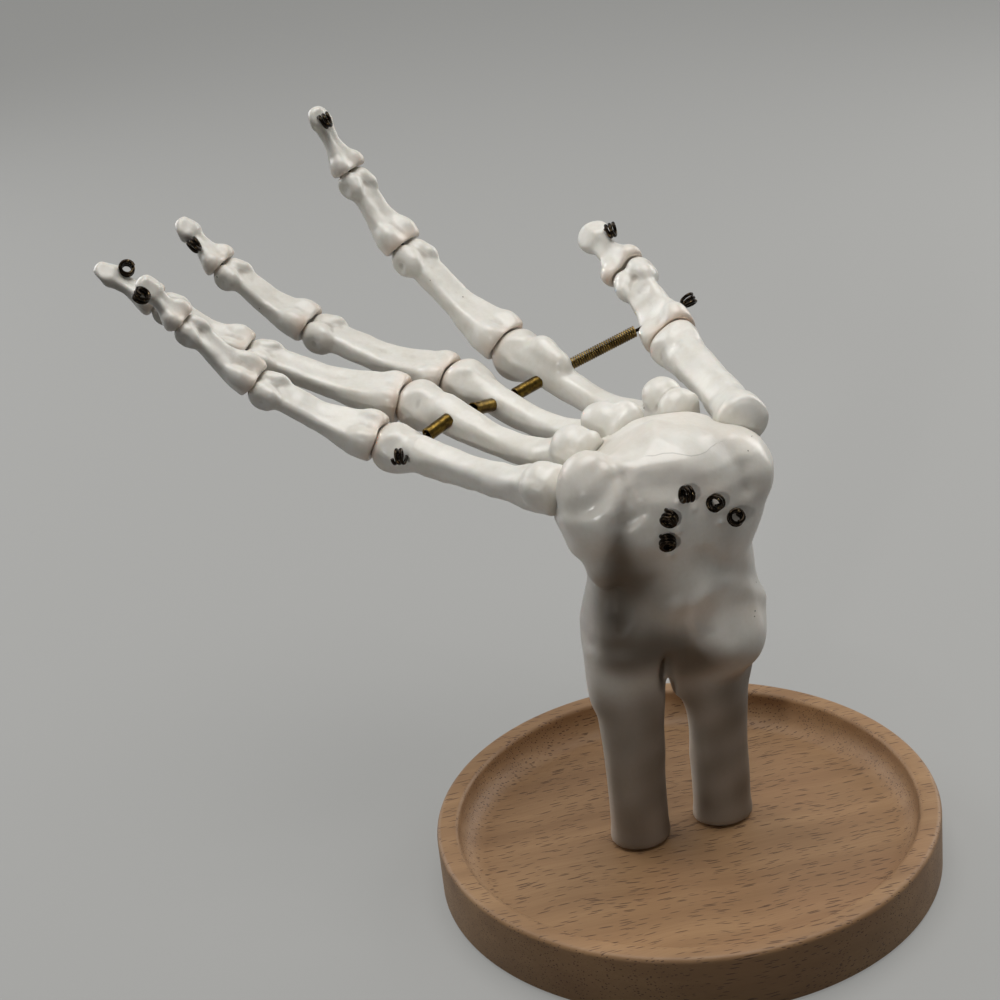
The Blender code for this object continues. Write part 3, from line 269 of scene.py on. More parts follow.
@dataclass(frozen=True)
class IvoryFinish(Finish):
    """Glossy hand-finished ivory resin with a wash and painted shade in its hollows, a warm tint where it is told
    to be, and, where crack is on, a painted shade on the block that is partly a brown stain.
    """

    ivory: tuple = (0.80, 0.78, 0.725, 1.0)
    shade: tuple = (0.72, 0.69, 0.62, 1.0)
    # Grey-brown of the wash in hollows, which also paints the shade that falls there.
    wash_and_shade: tuple = (0.24, 0.19, 0.14, 1.0)
    peach: tuple = (0.74, 0.53, 0.39, 1.0)
    pit: tuple = (0.05, 0.035, 0.025, 1.0)
    # Painted shade, partly a brown stain, on the block's lower front and in its shadowed places.
    stain_and_shade_brown: tuple = (0.105, 0.080, 0.056, 1.0)
    wash_and_shade_start: float = 0.62
    wash_and_shade_strength: float = 0.65
    cloud_size: float = 6.0
    grain_depth: float = 0.05
    pit_share: float = 0.10
    warm_share: float = 0.55
    pit_strength: float = 0.85
    roughness: float = 0.27
    coat: float = 0.25
    # With crack on come the hairline crack, the pits and the block's painted shade, which is partly a brown
    # stain.
    crack: bool = False

    def fill(self, n: Nodes, surface: bpy.types.Node) -> None:
        """Colour from the wash and painted shade in hollows, warmth and pits; gloss and relief from the fine
        grain.
        """
        wash_and_shade = self.effect(n, Effect.WASH, {"Hollow": n.mark("hollow"), "Cloud Size": self.cloud_size,
                                            "Start": self.wash_and_shade_start, "Strength": self.wash_and_shade_strength})
        relief = self.effect(n, Effect.RELIEF, {"Grain Size": 2.2, "Pit Spacing": 3.4, "Pit Size": 0.05,
                                                "Pit Share": self.pit_share})
        n.feed(surface, {"Coat Weight": self.coat, "Coat Roughness": 0.12, "Subsurface Weight": 0.12,
                         "Subsurface Radius": (1.0, 0.6, 0.4), "Subsurface Scale": 1.2 * MM})
        colour = n.blend(n.stretch(wash_and_shade["Mottle"], 0.30, 0.62), self.ivory, self.shade)
        colour = n.blend(n.times(n.mark("warmth"), self.warm_share, True), colour, self.peach)
        # Painted shade: hollows darken towards the wash colour, which is partly a real wash.
        colour = n.blend(wash_and_shade["Wash"], colour, self.wash_and_shade)
        marks, wash_stain_and_shade = relief["Pits"], wash_and_shade["Wash"]
        if self.crack:
            # Painted shade: the block's lower front and shadowed places darken towards a brown, partly a real
            # stain.
            age = n.mark("age")
            colour = n.blend(age, colour, self.stain_and_shade_brown)
            n.feed(surface, {"Coat Weight": n.times(self.coat, n.minus(1.0, age))})
            line = n.stretch(n.math("ABSOLUTE", n.mark("crack"), 0.0), 0.04, 0.18, 0.36, 0.0)
            pit = n.stretch(n.mark("pit"), 0.55, 0.65)
            marks = n.math("MAXIMUM", marks, n.math("MAXIMUM", line, pit))
            wash_stain_and_shade = n.math("MAXIMUM", wash_stain_and_shade, age)
        rough = n.plus(self.roughness, n.times(relief["Height"], 0.14))
        n.feed(surface, {"Base Color": n.blend(n.times(marks, self.pit_strength), colour, self.pit),
                         "Roughness": n.plus(rough, n.times(wash_stain_and_shade, 0.25)),
                         "Normal": self.bump(n, n.minus(relief["Height"], marks), self.grain_depth)})


@dataclass(frozen=True)
class MetalFinish(Finish):
    """A tarnished metal: dark film over bright metal."""

    metal: tuple
    film: tuple
    bare: float = 0.5
    patch_size: float = 1.5
    roughness: float = 0.28
    depth: float = 0.02

    def fill(self, n: Nodes, surface: bpy.types.Node) -> None:
        """Colour and gloss from the patina."""
        patina = self.effect(n, Effect.PATINA, {"Patch Size": self.patch_size, "Bare": self.bare})
        n.feed(surface, {"Base Color": n.blend(patina["Bare Metal"], self.film, self.metal), "Metallic": 1.0,
                         "Roughness": n.plus(self.roughness, n.times(patina["Dull"], 0.25)),
                         "Normal": self.bump(n, patina["Height"], self.depth)})


@dataclass(frozen=True)
class BeechFinish(Finish):
    """Oiled beech with short pore dashes and a redder heart here and there."""

    light: tuple = (0.375, 0.222, 0.107, 1.0)
    dark: tuple = (0.27, 0.150, 0.068, 1.0)
    red: tuple = (0.33, 0.172, 0.082, 1.0)
    pore: tuple = (0.115, 0.056, 0.026, 1.0)
    red_share: float = 0.45
    fibre_share: float = 0.35
    pore_share: float = 0.95
    roughness: float = 0.42
    depth: float = 0.06

    def fill(self, n: Nodes, surface: bpy.types.Node) -> None:
        """Colour, gloss and relief from the grain, with a redder tint from a coarse relief."""
        grain = self.effect(n, Effect.GRAIN, {})
        relief = self.effect(n, Effect.RELIEF, {"Grain Size": 30.0, "Pit Spacing": 20.0, "Pit Size": 0.01,
                                                "Pit Share": 0.02})
        colour = n.blend(n.stretch(grain["Bands"], 0.34, 0.66), self.light, self.dark)
        colour = n.blend(n.times(n.stretch(relief["Height"], 0.5, 0.75), self.red_share), colour, self.red)
        colour = n.blend(n.times(n.stretch(grain["Fibres"], 0.42, 0.75), self.fibre_share), colour, self.dark)
        height = n.minus(n.times(grain["Fibres"], 0.35), grain["Pores"])
        n.feed(surface, {"Base Color": n.blend(n.times(grain["Pores"], self.pore_share), colour, self.pore),
                         "Roughness": n.plus(self.roughness, n.times(grain["Fibres"], 0.2)),
                         "Normal": self.bump(n, height, self.depth)})


BONE = IvoryFinish("bone_ivory", "bone")
BLOCK = IvoryFinish("formed_ivory", "wrist_ivory", wash_and_shade_strength=0.2, cloud_size=14.0, pit_share=0.05,
                    roughness=0.26, grain_depth=0.07, crack=True)
BRONZE = MetalFinish("dark_bronze", "bronze_wire", (0.46, 0.33, 0.17, 1.0), (0.018, 0.013, 0.009, 1.0),
                     bare=0.36, patch_size=1.0, roughness=0.12)
BRASS = MetalFinish("aged_brass", "brass", (0.25, 0.165, 0.035, 1.0), (0.085, 0.052, 0.013, 1.0),
                    bare=0.50, patch_size=2.2, roughness=0.22, depth=0.03)
SPRING_BRASS = MetalFinish("spring_brass", "brass", (0.33, 0.225, 0.075, 1.0), (0.115, 0.075, 0.026, 1.0),
                           bare=0.55, patch_size=3.5, roughness=0.22, depth=0.01)
STEEL = MetalFinish("zinc_steel", "steel", (0.62, 0.62, 0.61, 1.0), (0.36, 0.35, 0.33, 1.0),
                    bare=0.62, patch_size=0.9, roughness=0.24)
BEECH = BeechFinish("oiled_beech", "beech")


# Fields: signed distances in millimetres, negative inside

FAR = 1e9


def smooth_min(first: np.ndarray, second: np.ndarray, soft: float) -> np.ndarray:
    """Join two fields with a soft fillet of about the given width."""
    share = np.maximum(soft - np.abs(first - second), 0.0) / soft
    return np.minimum(first, second) - share * share * soft * 0.25


def smooth_max(first: np.ndarray, second: np.ndarray, soft: float) -> np.ndarray:
    """Keep what two fields share, with a soft edge of about the given width."""
    return -smooth_min(-first, -second, soft)


def ramp(values: np.ndarray, start: float, end: float) -> np.ndarray:
    """0 where values are at or before the start, 1 at or beyond the end, and even in between."""
    return np.clip((values - start) / (end - start), 0.0, 1.0)


def egg(places: np.ndarray, centre: tuple, sizes: tuple) -> np.ndarray:
    """Field of an egg-shaped form.

    Args:
        places: Points, three numbers each.
        centre: Middle of the form.
        sizes: Half sizes along the three directions.

    Returns:
        Rough signed distances.
    """
    offset = places - np.array(centre)
    sizes = np.array(sizes)
    near = np.sqrt((offset / sizes) ** 2 @ np.ones(3))
    slope = np.sqrt((offset / sizes ** 2) ** 2 @ np.ones(3))
    return near * (near - 1.0) / np.maximum(slope, 1e-6)


def add_egg(value: np.ndarray, places: np.ndarray, centre: tuple, sizes: tuple, soft: float) -> np.ndarray:
    """Join an egg-shaped form to a field."""
    return smooth_min(value, egg(places, centre, sizes), soft)


def cut_egg(value: np.ndarray, places: np.ndarray, centre: tuple, sizes: tuple, soft: float) -> np.ndarray:
    """Cut an egg-shaped hollow into a field."""
    return smooth_max(value, -egg(places, centre, sizes), soft)


def line_distance(places: np.ndarray, points: tuple) -> np.ndarray:
    """Distance from each place to a line through points."""
    nearest = np.full(places.shape[:-1], FAR)
    for first, second in zip(points, points[1:]):
        first, step = np.array(first, float), np.array(second, float) - np.array(first, float)
        share = np.clip(((places - first) @ step) / (step @ step), 0.0, 1.0)
        nearest = np.minimum(nearest, np.linalg.norm(places - first - share[..., None] * step, axis=-1))
    return nearest


def unevenness(places: np.ndarray, length: float, seed: int) -> np.ndarray:
    """Smooth bumps of about -1 to 1 with the given wavelength."""
    waves, evening = 6, 3.5
    random = np.random.default_rng(seed)
    total = np.zeros(places.shape[:-1])
    for _ in range(waves):
        heading = random.normal(size=3)
        heading *= math.tau / length / np.linalg.norm(heading)
        total += np.sin(places @ heading + random.uniform(0.0, math.tau))
    return total / evening


def facets_of(places: np.ndarray, length: float, seed: int) -> np.ndarray:
    """Worked planes with creases between them, from about -0.45 to 0.55."""
    return np.abs(unevenness(places, length, seed)) - 0.45


def eased(stations: list, along: np.ndarray) -> tuple[np.ndarray, np.ndarray]:
    """Half width and half height along a bone, with soft S-shaped changes between its stations."""
    places = np.array([station[0] for station in stations])
    index = np.clip(np.searchsorted(places, along) - 1, 0, len(places) - 2)
    share = ramp(along, places[index], places[index + 1])
    share = share * share * (3.0 - 2.0 * share)
    sizes = np.array([station[1:] for station in stations])
    mixed = sizes[index] + (sizes[index + 1] - sizes[index]) * share[..., None]
    return mixed[..., 0], mixed[..., 1]


def grid_places(low: tuple, high: tuple, step: float) -> np.ndarray:
    """Points of a regular grid over a box."""
    axes = [np.arange(a, b + step, step) for a, b in zip(low, high)]
    return np.stack(np.meshgrid(*axes, indexing="ij"), axis=-1)


def skin_of(values: np.ndarray, low: tuple, step: float) -> tuple[np.ndarray, np.ndarray]:
    """The closed skin of a field on a grid, one vertex for each cell that the surface crosses.

    Args:
        values: The field on the grid, positive all over its border.
        low: Place of the grid's first point.
        step: Spacing of the grid.

    Returns:
        Vertices and four-sided faces with outward winding.
    """
    cells = tuple(size - 1 for size in values.shape)
    size = math.prod(cells)
    total, count = np.zeros((size, 3)), np.zeros(size)
    crossings = []
    for axis in range(3):
        near, far = [slice(None)] * 3, [slice(None)] * 3
        near[axis], far[axis] = slice(0, -1), slice(1, None)
        first, second = values[tuple(near)], values[tuple(far)]
        hit = (first < 0.0) != (second < 0.0)
        index = np.argwhere(hit)
        point = index.astype(float)
        point[:, axis] += first[hit] / (first[hit] - second[hit])
        u, v = (axis + 1) % 3, (axis + 2) % 3
        around = []
        for du, dv in ((1, 1), (0, 1), (0, 0), (1, 0)):
            cell = index.copy()
            cell[:, u] -= du
            cell[:, v] -= dv
            flat = np.ravel_multi_index(cell.T, cells)
            around.append(flat)
            count += np.bincount(flat, minlength=size)
            for k in range(3):
                total[:, k] += np.bincount(flat, weights=point[:, k], minlength=size)
        quads = np.stack(around, axis=1)
        inward = ~(first < 0.0)[hit]
        quads[inward] = quads[inward][:, ::-1]
        crossings.append(quads)
    used = count > 0
    numbers = np.full(size, -1)
    numbers[used] = np.arange(int(used.sum()))
    vertices = total[used] / count[used][:, None] * step + np.array(low)
    return vertices, numbers[np.concatenate(crossings)]


def relaxed(values: np.ndarray, faces: np.ndarray, steps: int) -> np.ndarray:
    """Values on the vertices, such as their places, evened out half way to their neighbours' at each step."""
    start, end = faces.ravel(), np.roll(faces, -1, axis=1).ravel()
    count = np.bincount(start, minlength=len(values))[:, None]
    for _ in range(steps):
        mean = np.stack([np.bincount(start, weights=values[end, k], minlength=len(values))
                         for k in range(values.shape[1])], axis=1) / count
        values = values + (mean - values) * 0.5
    return values


def linked(name: str, data: bpy.types.ID) -> bpy.types.Object:
    """A new object in the scene."""
    made = bpy.data.objects.new(name, data)
    bpy.context.scene.collection.objects.link(made)
    return made


def mesh_object(name: str, vertices: np.ndarray, faces: np.ndarray, finish: Finish,
                marks: dict[str, np.ndarray]) -> bpy.types.Object:
    """A smooth mesh object from millimetre places.

    Args:
        name: Name of the piece.
        vertices: Places in the world, in millimetres.
        faces: Four corners for each face.
        finish: Its finish.
        marks: Values for each vertex, by attribute name.

    Returns:
        The object, linked to the scene.
    """
    mesh = bpy.data.meshes.new(name)
    mesh.vertices.add(len(vertices))
    mesh.vertices.foreach_set("co", (vertices * MM).astype(np.float32).ravel())
    mesh.loops.add(faces.size)
    mesh.loops.foreach_set("vertex_index", faces.astype(np.int32).ravel())
    mesh.polygons.add(len(faces))
    mesh.polygons.foreach_set("loop_start", np.arange(0, faces.size, 4, dtype=np.int32))
    mesh.update(calc_edges=True)
    for label, values in marks.items():
        layer = mesh.attributes.new(label, "FLOAT", "POINT")
        layer.data.foreach_set("value", values.astype(np.float32))
    mesh.materials.append(finish.material())
    mesh.shade_smooth()
    return linked(name, mesh)


def outward_normals(vertices: np.ndarray, faces: np.ndarray) -> np.ndarray:
    """Unit normals at the vertices of a quad mesh."""
    corner = vertices[faces]
    face = np.cross(corner[:, 2] - corner[:, 0], corner[:, 3] - corner[:, 1])
    total = np.zeros_like(vertices)
    for k in range(4):
        for axis in range(3):
            total[:, axis] += np.bincount(faces[:, k], weights=face[:, axis], minlength=len(vertices))
    return total / np.maximum(np.linalg.norm(total, axis=1, keepdims=True), 1e-12)


def hollowness(vertices: np.ndarray, faces: np.ndarray, fine: float, wide: float) -> np.ndarray:
    """How deep each vertex lies in a hollow, 0 on ridges, 0.5 where flat and 1 in deep hollows.

    Args:
        vertices: The mesh's places.
        faces: Its quads.
        fine: Depth in millimetres that counts as deep at a small scale.
        wide: The same at a larger scale.

    Returns:
        A value for each vertex.
    """
    near_steps, far_steps, last_steps = 8, 60, 2
    normals = outward_normals(vertices, faces)
    near = relaxed(vertices, faces, near_steps)
    far = relaxed(near, faces, far_steps)
    small = ((near - vertices) * normals).sum(1) / fine
    large = ((far - vertices) * normals).sum(1) / wide
    value = 0.5 + 0.5 * np.clip(0.6 * small + 0.7 * large, -1.0, 1.0)
    return relaxed(value[:, None], faces, last_steps)[:, 0]


def placed(vertices: np.ndarray, place: Matrix) -> np.ndarray:
    """Points moved by a matrix in millimetres."""
    matrix = np.array(place)
    return vertices @ matrix[:3, :3].T + matrix[:3, 3]


def finish_piece(piece: bpy.types.Object, body: str, finish: Finish, *nodes: str) -> None:
    """Tie a piece to its body and the CAD nodes that it stands for."""
    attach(piece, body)
    if nodes:
        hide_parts(*nodes)
    log.info("%s rides on %s, %d faces", piece.name, body, len(piece.data.polygons))


# Geometry Nodes

class Tree(Enum):
    """Geometry Nodes trees that make the repeated, swept and turned forms."""

    WIRE = "wire_sweep"
    COIL = "closed_coil"
    TURNED = "turned_form"


def new_tree(kind: Tree, inputs: dict[str, tuple[str, float]]) -> tuple[Nodes, dict]:
    """Start a Geometry Nodes tree with a Finish input and named sizes.

    Args:
        kind: Which tree it is.
        inputs: Kinds of number and defaults by name.

    Returns:
        A node adder for it and its inputs as sockets by name.
    """
    tree = bpy.data.node_groups.new(kind.value, "GeometryNodeTree")
    tree.interface.new_socket("Geometry", in_out="INPUT", socket_type="NodeSocketGeometry")
    for label, (number, value) in inputs.items():
        socket = tree.interface.new_socket(label, in_out="INPUT", socket_type="NodeSocket" + number)
        socket.default_value = value
    tree.interface.new_socket("Finish", in_out="INPUT", socket_type="NodeSocketMaterial")
    tree.interface.new_socket("Geometry", in_out="OUTPUT", socket_type="NodeSocketGeometry")
    n = Nodes(tree)
    start = n.add("NodeGroupInput").outputs
    return n, {label: start[label] for label in ("Geometry", "Finish", *inputs)}


def close_tree(n: Nodes, given: dict, geometry: bpy.types.NodeSocket) -> bpy.types.NodeTree:
    """End a tree in smooth shading, Realize Instances and Set Material."""
    smooth = n.add("GeometryNodeSetShadeSmooth", {"Geometry": geometry}).outputs[0]
    real = n.add("GeometryNodeRealizeInstances", {"Geometry": smooth}).outputs[0]
    dressed = n.add("GeometryNodeSetMaterial", {"Geometry": real, "Material": given["Finish"]}).outputs[0]
    n.add("NodeGroupOutput", {0: dressed})
    return n.tree


def round_tube(n: Nodes, curve: bpy.types.NodeSocket, sides: object, radius: object) -> bpy.types.NodeSocket:
    """A round wire with closed ends along a curve."""
    ring = n.add("GeometryNodeCurvePrimitiveCircle", {"Resolution": sides, "Radius": radius}).outputs[0]
    tube = n.add("GeometryNodeCurveToMesh", {"Curve": curve, "Profile Curve": ring, "Fill Caps": True})
    return tube.outputs[0]


def wire_tree() -> bpy.types.NodeTree:
    """A round wire along a line of points, evened out into a smooth curve."""
    n, given = new_tree(Tree.WIRE, {"Radius": ("Float", 0.0004), "Step": ("Float", 0.0003),
                                    "Sides": ("Int", 12)})
    curve = n.add("GeometryNodeMeshToCurve", {0: given["Geometry"]}).outputs[0]
    smooth = n.add("GeometryNodeCurveSplineType", {"Curve": curve}, spline_type="CATMULL_ROM").outputs[0]
    even = n.add("GeometryNodeResampleCurve", {"Curve": smooth, "Length": given["Step"]}, mode="LENGTH")
    return close_tree(n, given, round_tube(n, even.outputs[0], given["Sides"], given["Radius"]))


def coil_tree() -> bpy.types.NodeTree:
    """A coil of round wire about z, from the origin upwards."""
    wire_sides = 8
    n, given = new_tree(Tree.COIL, {"Coil Radius": ("Float", 0.001), "Wire Radius": ("Float", 0.0003),
                                    "Turns": ("Float", 10.0), "Length": ("Float", 0.01), "Points": ("Int", 20)})
    spiral = n.add("GeometryNodeCurveSpiral", {
        "Resolution": given["Points"], "Rotations": given["Turns"], "Start Radius": given["Coil Radius"],
        "End Radius": given["Coil Radius"], "Height": given["Length"]}).outputs[0]
    return close_tree(n, given, round_tube(n, spiral, wire_sides, given["Wire Radius"]))


def turned_tree() -> bpy.types.NodeTree:
    """A turned form: a profile carried round z on a circle of one metre, which its own places allow for."""
    n, given = new_tree(Tree.TURNED, {"Sides": ("Int", 96), "Merge": ("Float", 0.00002)})
    profile = n.add("GeometryNodeMeshToCurve", {0: given["Geometry"]}).outputs[0]
    path = n.add("GeometryNodeCurvePrimitiveCircle", {"Resolution": given["Sides"], "Radius": 1.0}).outputs[0]
    swept = n.add("GeometryNodeCurveToMesh", {"Curve": path, "Profile Curve": profile}).outputs[0]
    joined = n.add("GeometryNodeMergeByDistance", {"Geometry": swept, "Distance": given["Merge"]}).outputs[0]
    return close_tree(n, given, joined)


def grown(kind: Tree, name: str, source: bpy.types.Mesh, values: dict, finish: Finish) -> bpy.types.Object:
    """Run a tree on a source mesh and keep the result as a plain mesh object.

    Args:
        kind: The tree.
        name: Name of the piece.
        source: Points and edges that the tree starts from.
        values: Inputs by name.
        finish: Its finish.

    Returns:
        The piece, with no modifier left.
    """
    makers = {Tree.WIRE: wire_tree, Tree.COIL: coil_tree, Tree.TURNED: turned_tree}
    tree = bpy.data.node_groups.get(kind.value) or makers[kind]()
    holder = linked(name + "_source", source)
    step = holder.modifiers.new("grow", "NODES")
    step.node_group = tree
    sockets = {item.name: item.identifier for item in tree.interface.items_tree if item.in_out == "INPUT"}
    for label, value in {**values, "Finish": finish.material()}.items():
        step[sockets[label]] = value
    mesh = solid_mesh(holder)
    mesh.name = name
    bpy.data.objects.remove(holder)
    if not mesh.materials:
        mesh.materials.append(finish.material())
    return linked(name, mesh)


def solid_mesh(holder: bpy.types.Object) -> bpy.types.Mesh:
    """The mesh that an object's modifiers make."""
    bpy.context.view_layer.update()
    return bpy.data.meshes.new_from_object(holder.evaluated_get(bpy.context.evaluated_depsgraph_get()))


def polyline(points: list, closed: bool = False) -> bpy.types.Mesh:
    """A mesh of points and edges, in metres, from millimetre places."""
    mesh = bpy.data.meshes.new("line")
    edges = [(i, i + 1) for i in range(len(points) - 1)] + ([(len(points) - 1, 0)] if closed else [])
    mesh.from_pydata([tuple(Vector(point) * MM) for point in points], edges, [])
    return mesh


def wire_piece(name: str, points: list, radius: float, body: str, *nodes: str) -> None:
    """A bronze wire through millimetre places, tied to its body and to the CAD nodes that it stands for."""
    values = {"Radius": radius * MM, "Step": 0.28 * MM, "Sides": 12}
    finish_piece(grown(Tree.WIRE, name, polyline(points), values, BRONZE), body, BRONZE, *nodes)


def turned_piece(name: str, profile: list, sides: int, place: Matrix, finish: Finish) -> bpy.types.Object:
    """A turned form from a closed profile of (radius, height), moved by a matrix in millimetres."""
    points = [(radius - MM_PER_METRE, -height, 0.0) for radius, height in profile]
    made = grown(Tree.TURNED, name, polyline(points, True), {"Sides": sides}, finish)
    move(made, place)
    bm = bmesh.new()
    bm.from_mesh(made.data)
    bmesh.ops.recalc_face_normals(bm, faces=bm.faces)
    bm.to_mesh(made.data)
    bm.free()
    return made


def along_line(start: Vector, end: Vector) -> Matrix:
    """Matrix that carries z from the origin onto a line's start and heading."""
    return Matrix.Translation(start) @ (end - start).to_track_quat("Z", "Y").to_matrix().to_4x4()


def move(piece: bpy.types.Object, place: Matrix) -> None:
    """Move a piece's mesh by a matrix whose shift is in millimetres."""
    scaled = place.copy()
    scaled.translation = place.translation * MM
    piece.data.transform(scaled)


# The hand's measures

@dataclass(frozen=True)
class Head:
    """The end of a bone at its far hinge, turned about the hinge line."""

    radius: float
    half_width: float
    groove: float = 0.45
    gap: float = 0.35
    power: float = 2.6
    cup_turn: float = math.radians(48.0)
    cup_wall: float = 0.7

    def surface(self, ahead: np.ndarray, aside: np.ndarray, up: np.ndarray, grow: float = 0.0) -> np.ndarray:
        """Field of the head about the origin; aside runs along the hinge line."""
        groove = self.groove * np.exp(-(aside / (0.28 * self.half_width)) ** 2)
        reach = (np.hypot(ahead, up) + groove) / (self.radius + grow)
        share = np.abs(aside) / (self.half_width + grow)
        size = min(self.radius, self.half_width) + grow
        return ((reach ** self.power + share ** self.power) ** (1 / self.power) - 1.0) * size

    def cup_start(self) -> float:
        """Distance from the hinge line to the rim of the next bone's cup."""
        return (self.radius + self.gap) * math.cos(self.cup_turn)

    def cup_half_height(self) -> float:
        """Half height of the next bone's base around its cup."""
        return (self.radius + self.gap) * math.sin(self.cup_turn) + self.cup_wall


@dataclass(frozen=True)
class Shaft:
    """Length of a bone between hinge lines, half sizes of its waist, and its bow."""

    length: float
    half_width: float
    half_height: float
    bow: float = 1.0


@dataclass(frozen=True)
class Ray:
    """One finger or the thumb: its bones, how they rest on each other and where its wire ends.

    The knuckle is the first hinge's place in the world. The exit is the wound eye on the block's face, by its
    place across, height, ring axis and side. The eye is the one at the tip, by centre, ring axis and side in the
    last bone's measures. The cross is where the knuckle wire passes, by distance before the hinge and height.
    Knobs and crown are egg-shaped forms, by centre and half sizes, on the first bone's base and head. The scoop
    is one that is cut into the next bone.
    """

    name: str
    knuckle: tuple
    turns: tuple
    base: tuple
    shafts: tuple
    heads: tuple
    bends: tuple
    leans: tuple
    exit: tuple
    eye: tuple
    cross: tuple
    neck: float = 0.74
    arch_end: float = 1.3
    knobs: tuple = ()
    crown: tuple = ()
    scoop: tuple = ()

    def bone_names(self) -> list[str]:
        """Names of the bones from the wrist to the tip."""
        middle = ("middle",) if len(self.shafts) == 4 else ()
        return [f"{self.name}_{kind}" for kind in ("metacarpal", "proximal", *middle, "distal")]

    def frames(self) -> list[Matrix]:
        """Matrices of the bones in millimetres. The metacarpal's origin is its base, a phalanx's its hinge."""
        yaw, pitch, roll = (math.radians(turn) for turn in self.turns)
        turn = Matrix.Rotation(yaw, 4, "Z") @ Matrix.Rotation(-pitch, 4, "Y") @ Matrix.Rotation(roll, 4, "X")
        hinge = Vector(self.knuckle)
        places = [Matrix.Translation(hinge - turn.to_3x3() @ Vector((self.shafts[0].length, 0, 0))) @ turn]
        for shaft, bend, lean in zip(self.shafts[1:], self.bends, self.leans):
            turn = turn @ Matrix.Rotation(math.radians(lean), 4, "Z")
            turn = turn @ Matrix.Rotation(-math.radians(bend), 4, "Y")
            places.append(Matrix.Translation(hinge) @ turn)
            hinge = hinge + turn.to_3x3() @ Vector((shaft.length, 0, 0))
        return places


RAYS = (
    Ray("index", (-65.0, 40.5, 107.5), (167, 4, -5), (5.3, 6.1),
        (Shaft(58.5, 3.7, 3.5, 5.7), Shaft(39.0, 4.0, 3.3), Shaft(24.5, 3.6, 3.0), Shaft(21.8, 2.2, 2.0, 0.2)),
        (Head(6.6, 6.6, 0.0), Head(4.8, 5.5), Head(4.0, 4.8)),
        bends=(33, 16, 13), leans=(8, 1, 1), exit=(6.8, 97.1, (-0.77, 0.63, 0.08), 1),
        eye=((17.36, 1.2, 3.4), (-0.05, -0.65, 0.76), 1), cross=(11.0, -2.4), neck=0.66, arch_end=0.9,
        knobs=(((9.0, -0.4, 2.8), (4.8, 4.8, 4.4)), ((3.2, 0.6, 1.6), (3.6, 5.0, 4.9))),
        crown=(((50.6, -1.0, 3.2), (4.2, 3.6, 3.8)), ((46.4, -0.6, 1.0), (6.0, 3.4, 4.2)))),
    Ray("middle", (-70.0, 24.0, 104.5), (171, 2, -8), (5.8, 6.2),
        (Shaft(54.5, 3.6, 3.4, 5.4), Shaft(43.0, 4.1, 3.4), Shaft(29.0, 3.7, 3.1), Shaft(19.5, 2.3, 2.1, 0.2)),
        (Head(6.6, 6.6, 0.0), Head(4.9, 5.6), Head(4.0, 4.9)),
        bends=(15, 18, 18), leans=(14, 2, 0), exit=(0.1, 100.7, (-0.98, 0.12, 0.13), 1),
        eye=((11.42, 3.9, 1.89), (-0.14, -0.55, 0.82), 1), cross=(11.0, -2.2), neck=0.60, arch_end=0.7,
        knobs=(((7.6, 1.0, 1.6), (6.4, 5.0, 4.9)), ((3.6, -1.5, 1.8), (3.4, 4.4, 5.0)))),
    Ray("ring", (-72.0, 7.5, 105.0), (175, 4, -13), (5.5, 5.9),
        (Shaft(52.5, 3.7, 3.4, 4.4), Shaft(43.0, 3.9, 3.2), Shaft(26.0, 3.4, 2.8), Shaft(20.5, 2.3, 1.9, 0.2)),
        (Head(6.2, 6.2, 0.0), Head(4.6, 5.2), Head(3.8, 4.5)),
        bends=(17, 17, 5), leans=(19, 1, 2), exit=(-4.3, 95.6, (-0.68, 0.65, -0.34), -1),
        eye=((13.75, -2.2, 2.6), (0.04, 0.4, 0.92), -1), cross=(12.0, 1.2),
        knobs=(((4.8, 0.6, 1.5), (5.4, 5.4, 5.2)),)),
    Ray("little", (-68.0, -8.5, 100.5), (178, 3, -19), (5.5, 6.0),
        (Shaft(48.0, 3.9, 3.8, 1.8), Shaft(34.5, 3.5, 3.1), Shaft(23.0, 3.1, 2.7), Shaft(17.0, 2.1, 1.9, 0.2)),
        (Head(6.0, 6.0, 0.0), Head(4.3, 4.9), Head(3.5, 4.1)),
        bends=(28, 22, 12), leans=(12, 0, 0), exit=(-5.0, 90.1, (-0.30, 0.87, -0.40), -1),
        eye=((14.55, 4.39, 1.75), (0.33, -0.24, 0.91), 1), cross=(5.0, 1.8),
        knobs=(((4.6, 0.8, 1.2), (5.0, 5.3, 5.4)), ((4.5, 4.2, 1.6), (3.4, 2.0, 3.6)))),
    Ray("thumb", (-26.2, 54.5, 109.1), (139, 5, -40), (6.0, 6.3),
        (Shaft(45.5, 5.0, 4.3, 1.6), Shaft(30.0, 4.6, 3.9), Shaft(23.5, 2.9, 2.5, 0.2)),
        (Head(6.4, 7.0, 0.0), Head(5.1, 6.1)),
        bends=(13, 15), leans=(-8, 7), exit=(11.5, 92.5, (-0.07, 0.75, 0.66), -1),
        eye=((15.0, -4.58, 2.24), (-0.44, -0.88, -0.19), 1), cross=(-11.0, 1.8),
        knobs=(((2.4, 0.0, 0.0), (3.8, 5.8, 6.0)),), scoop=((11.2, 9.5, 0.2), (6.0, 4.0, 12.0))),
)
FINGERS, THUMB = RAYS[:4], RAYS[4]


# Bones

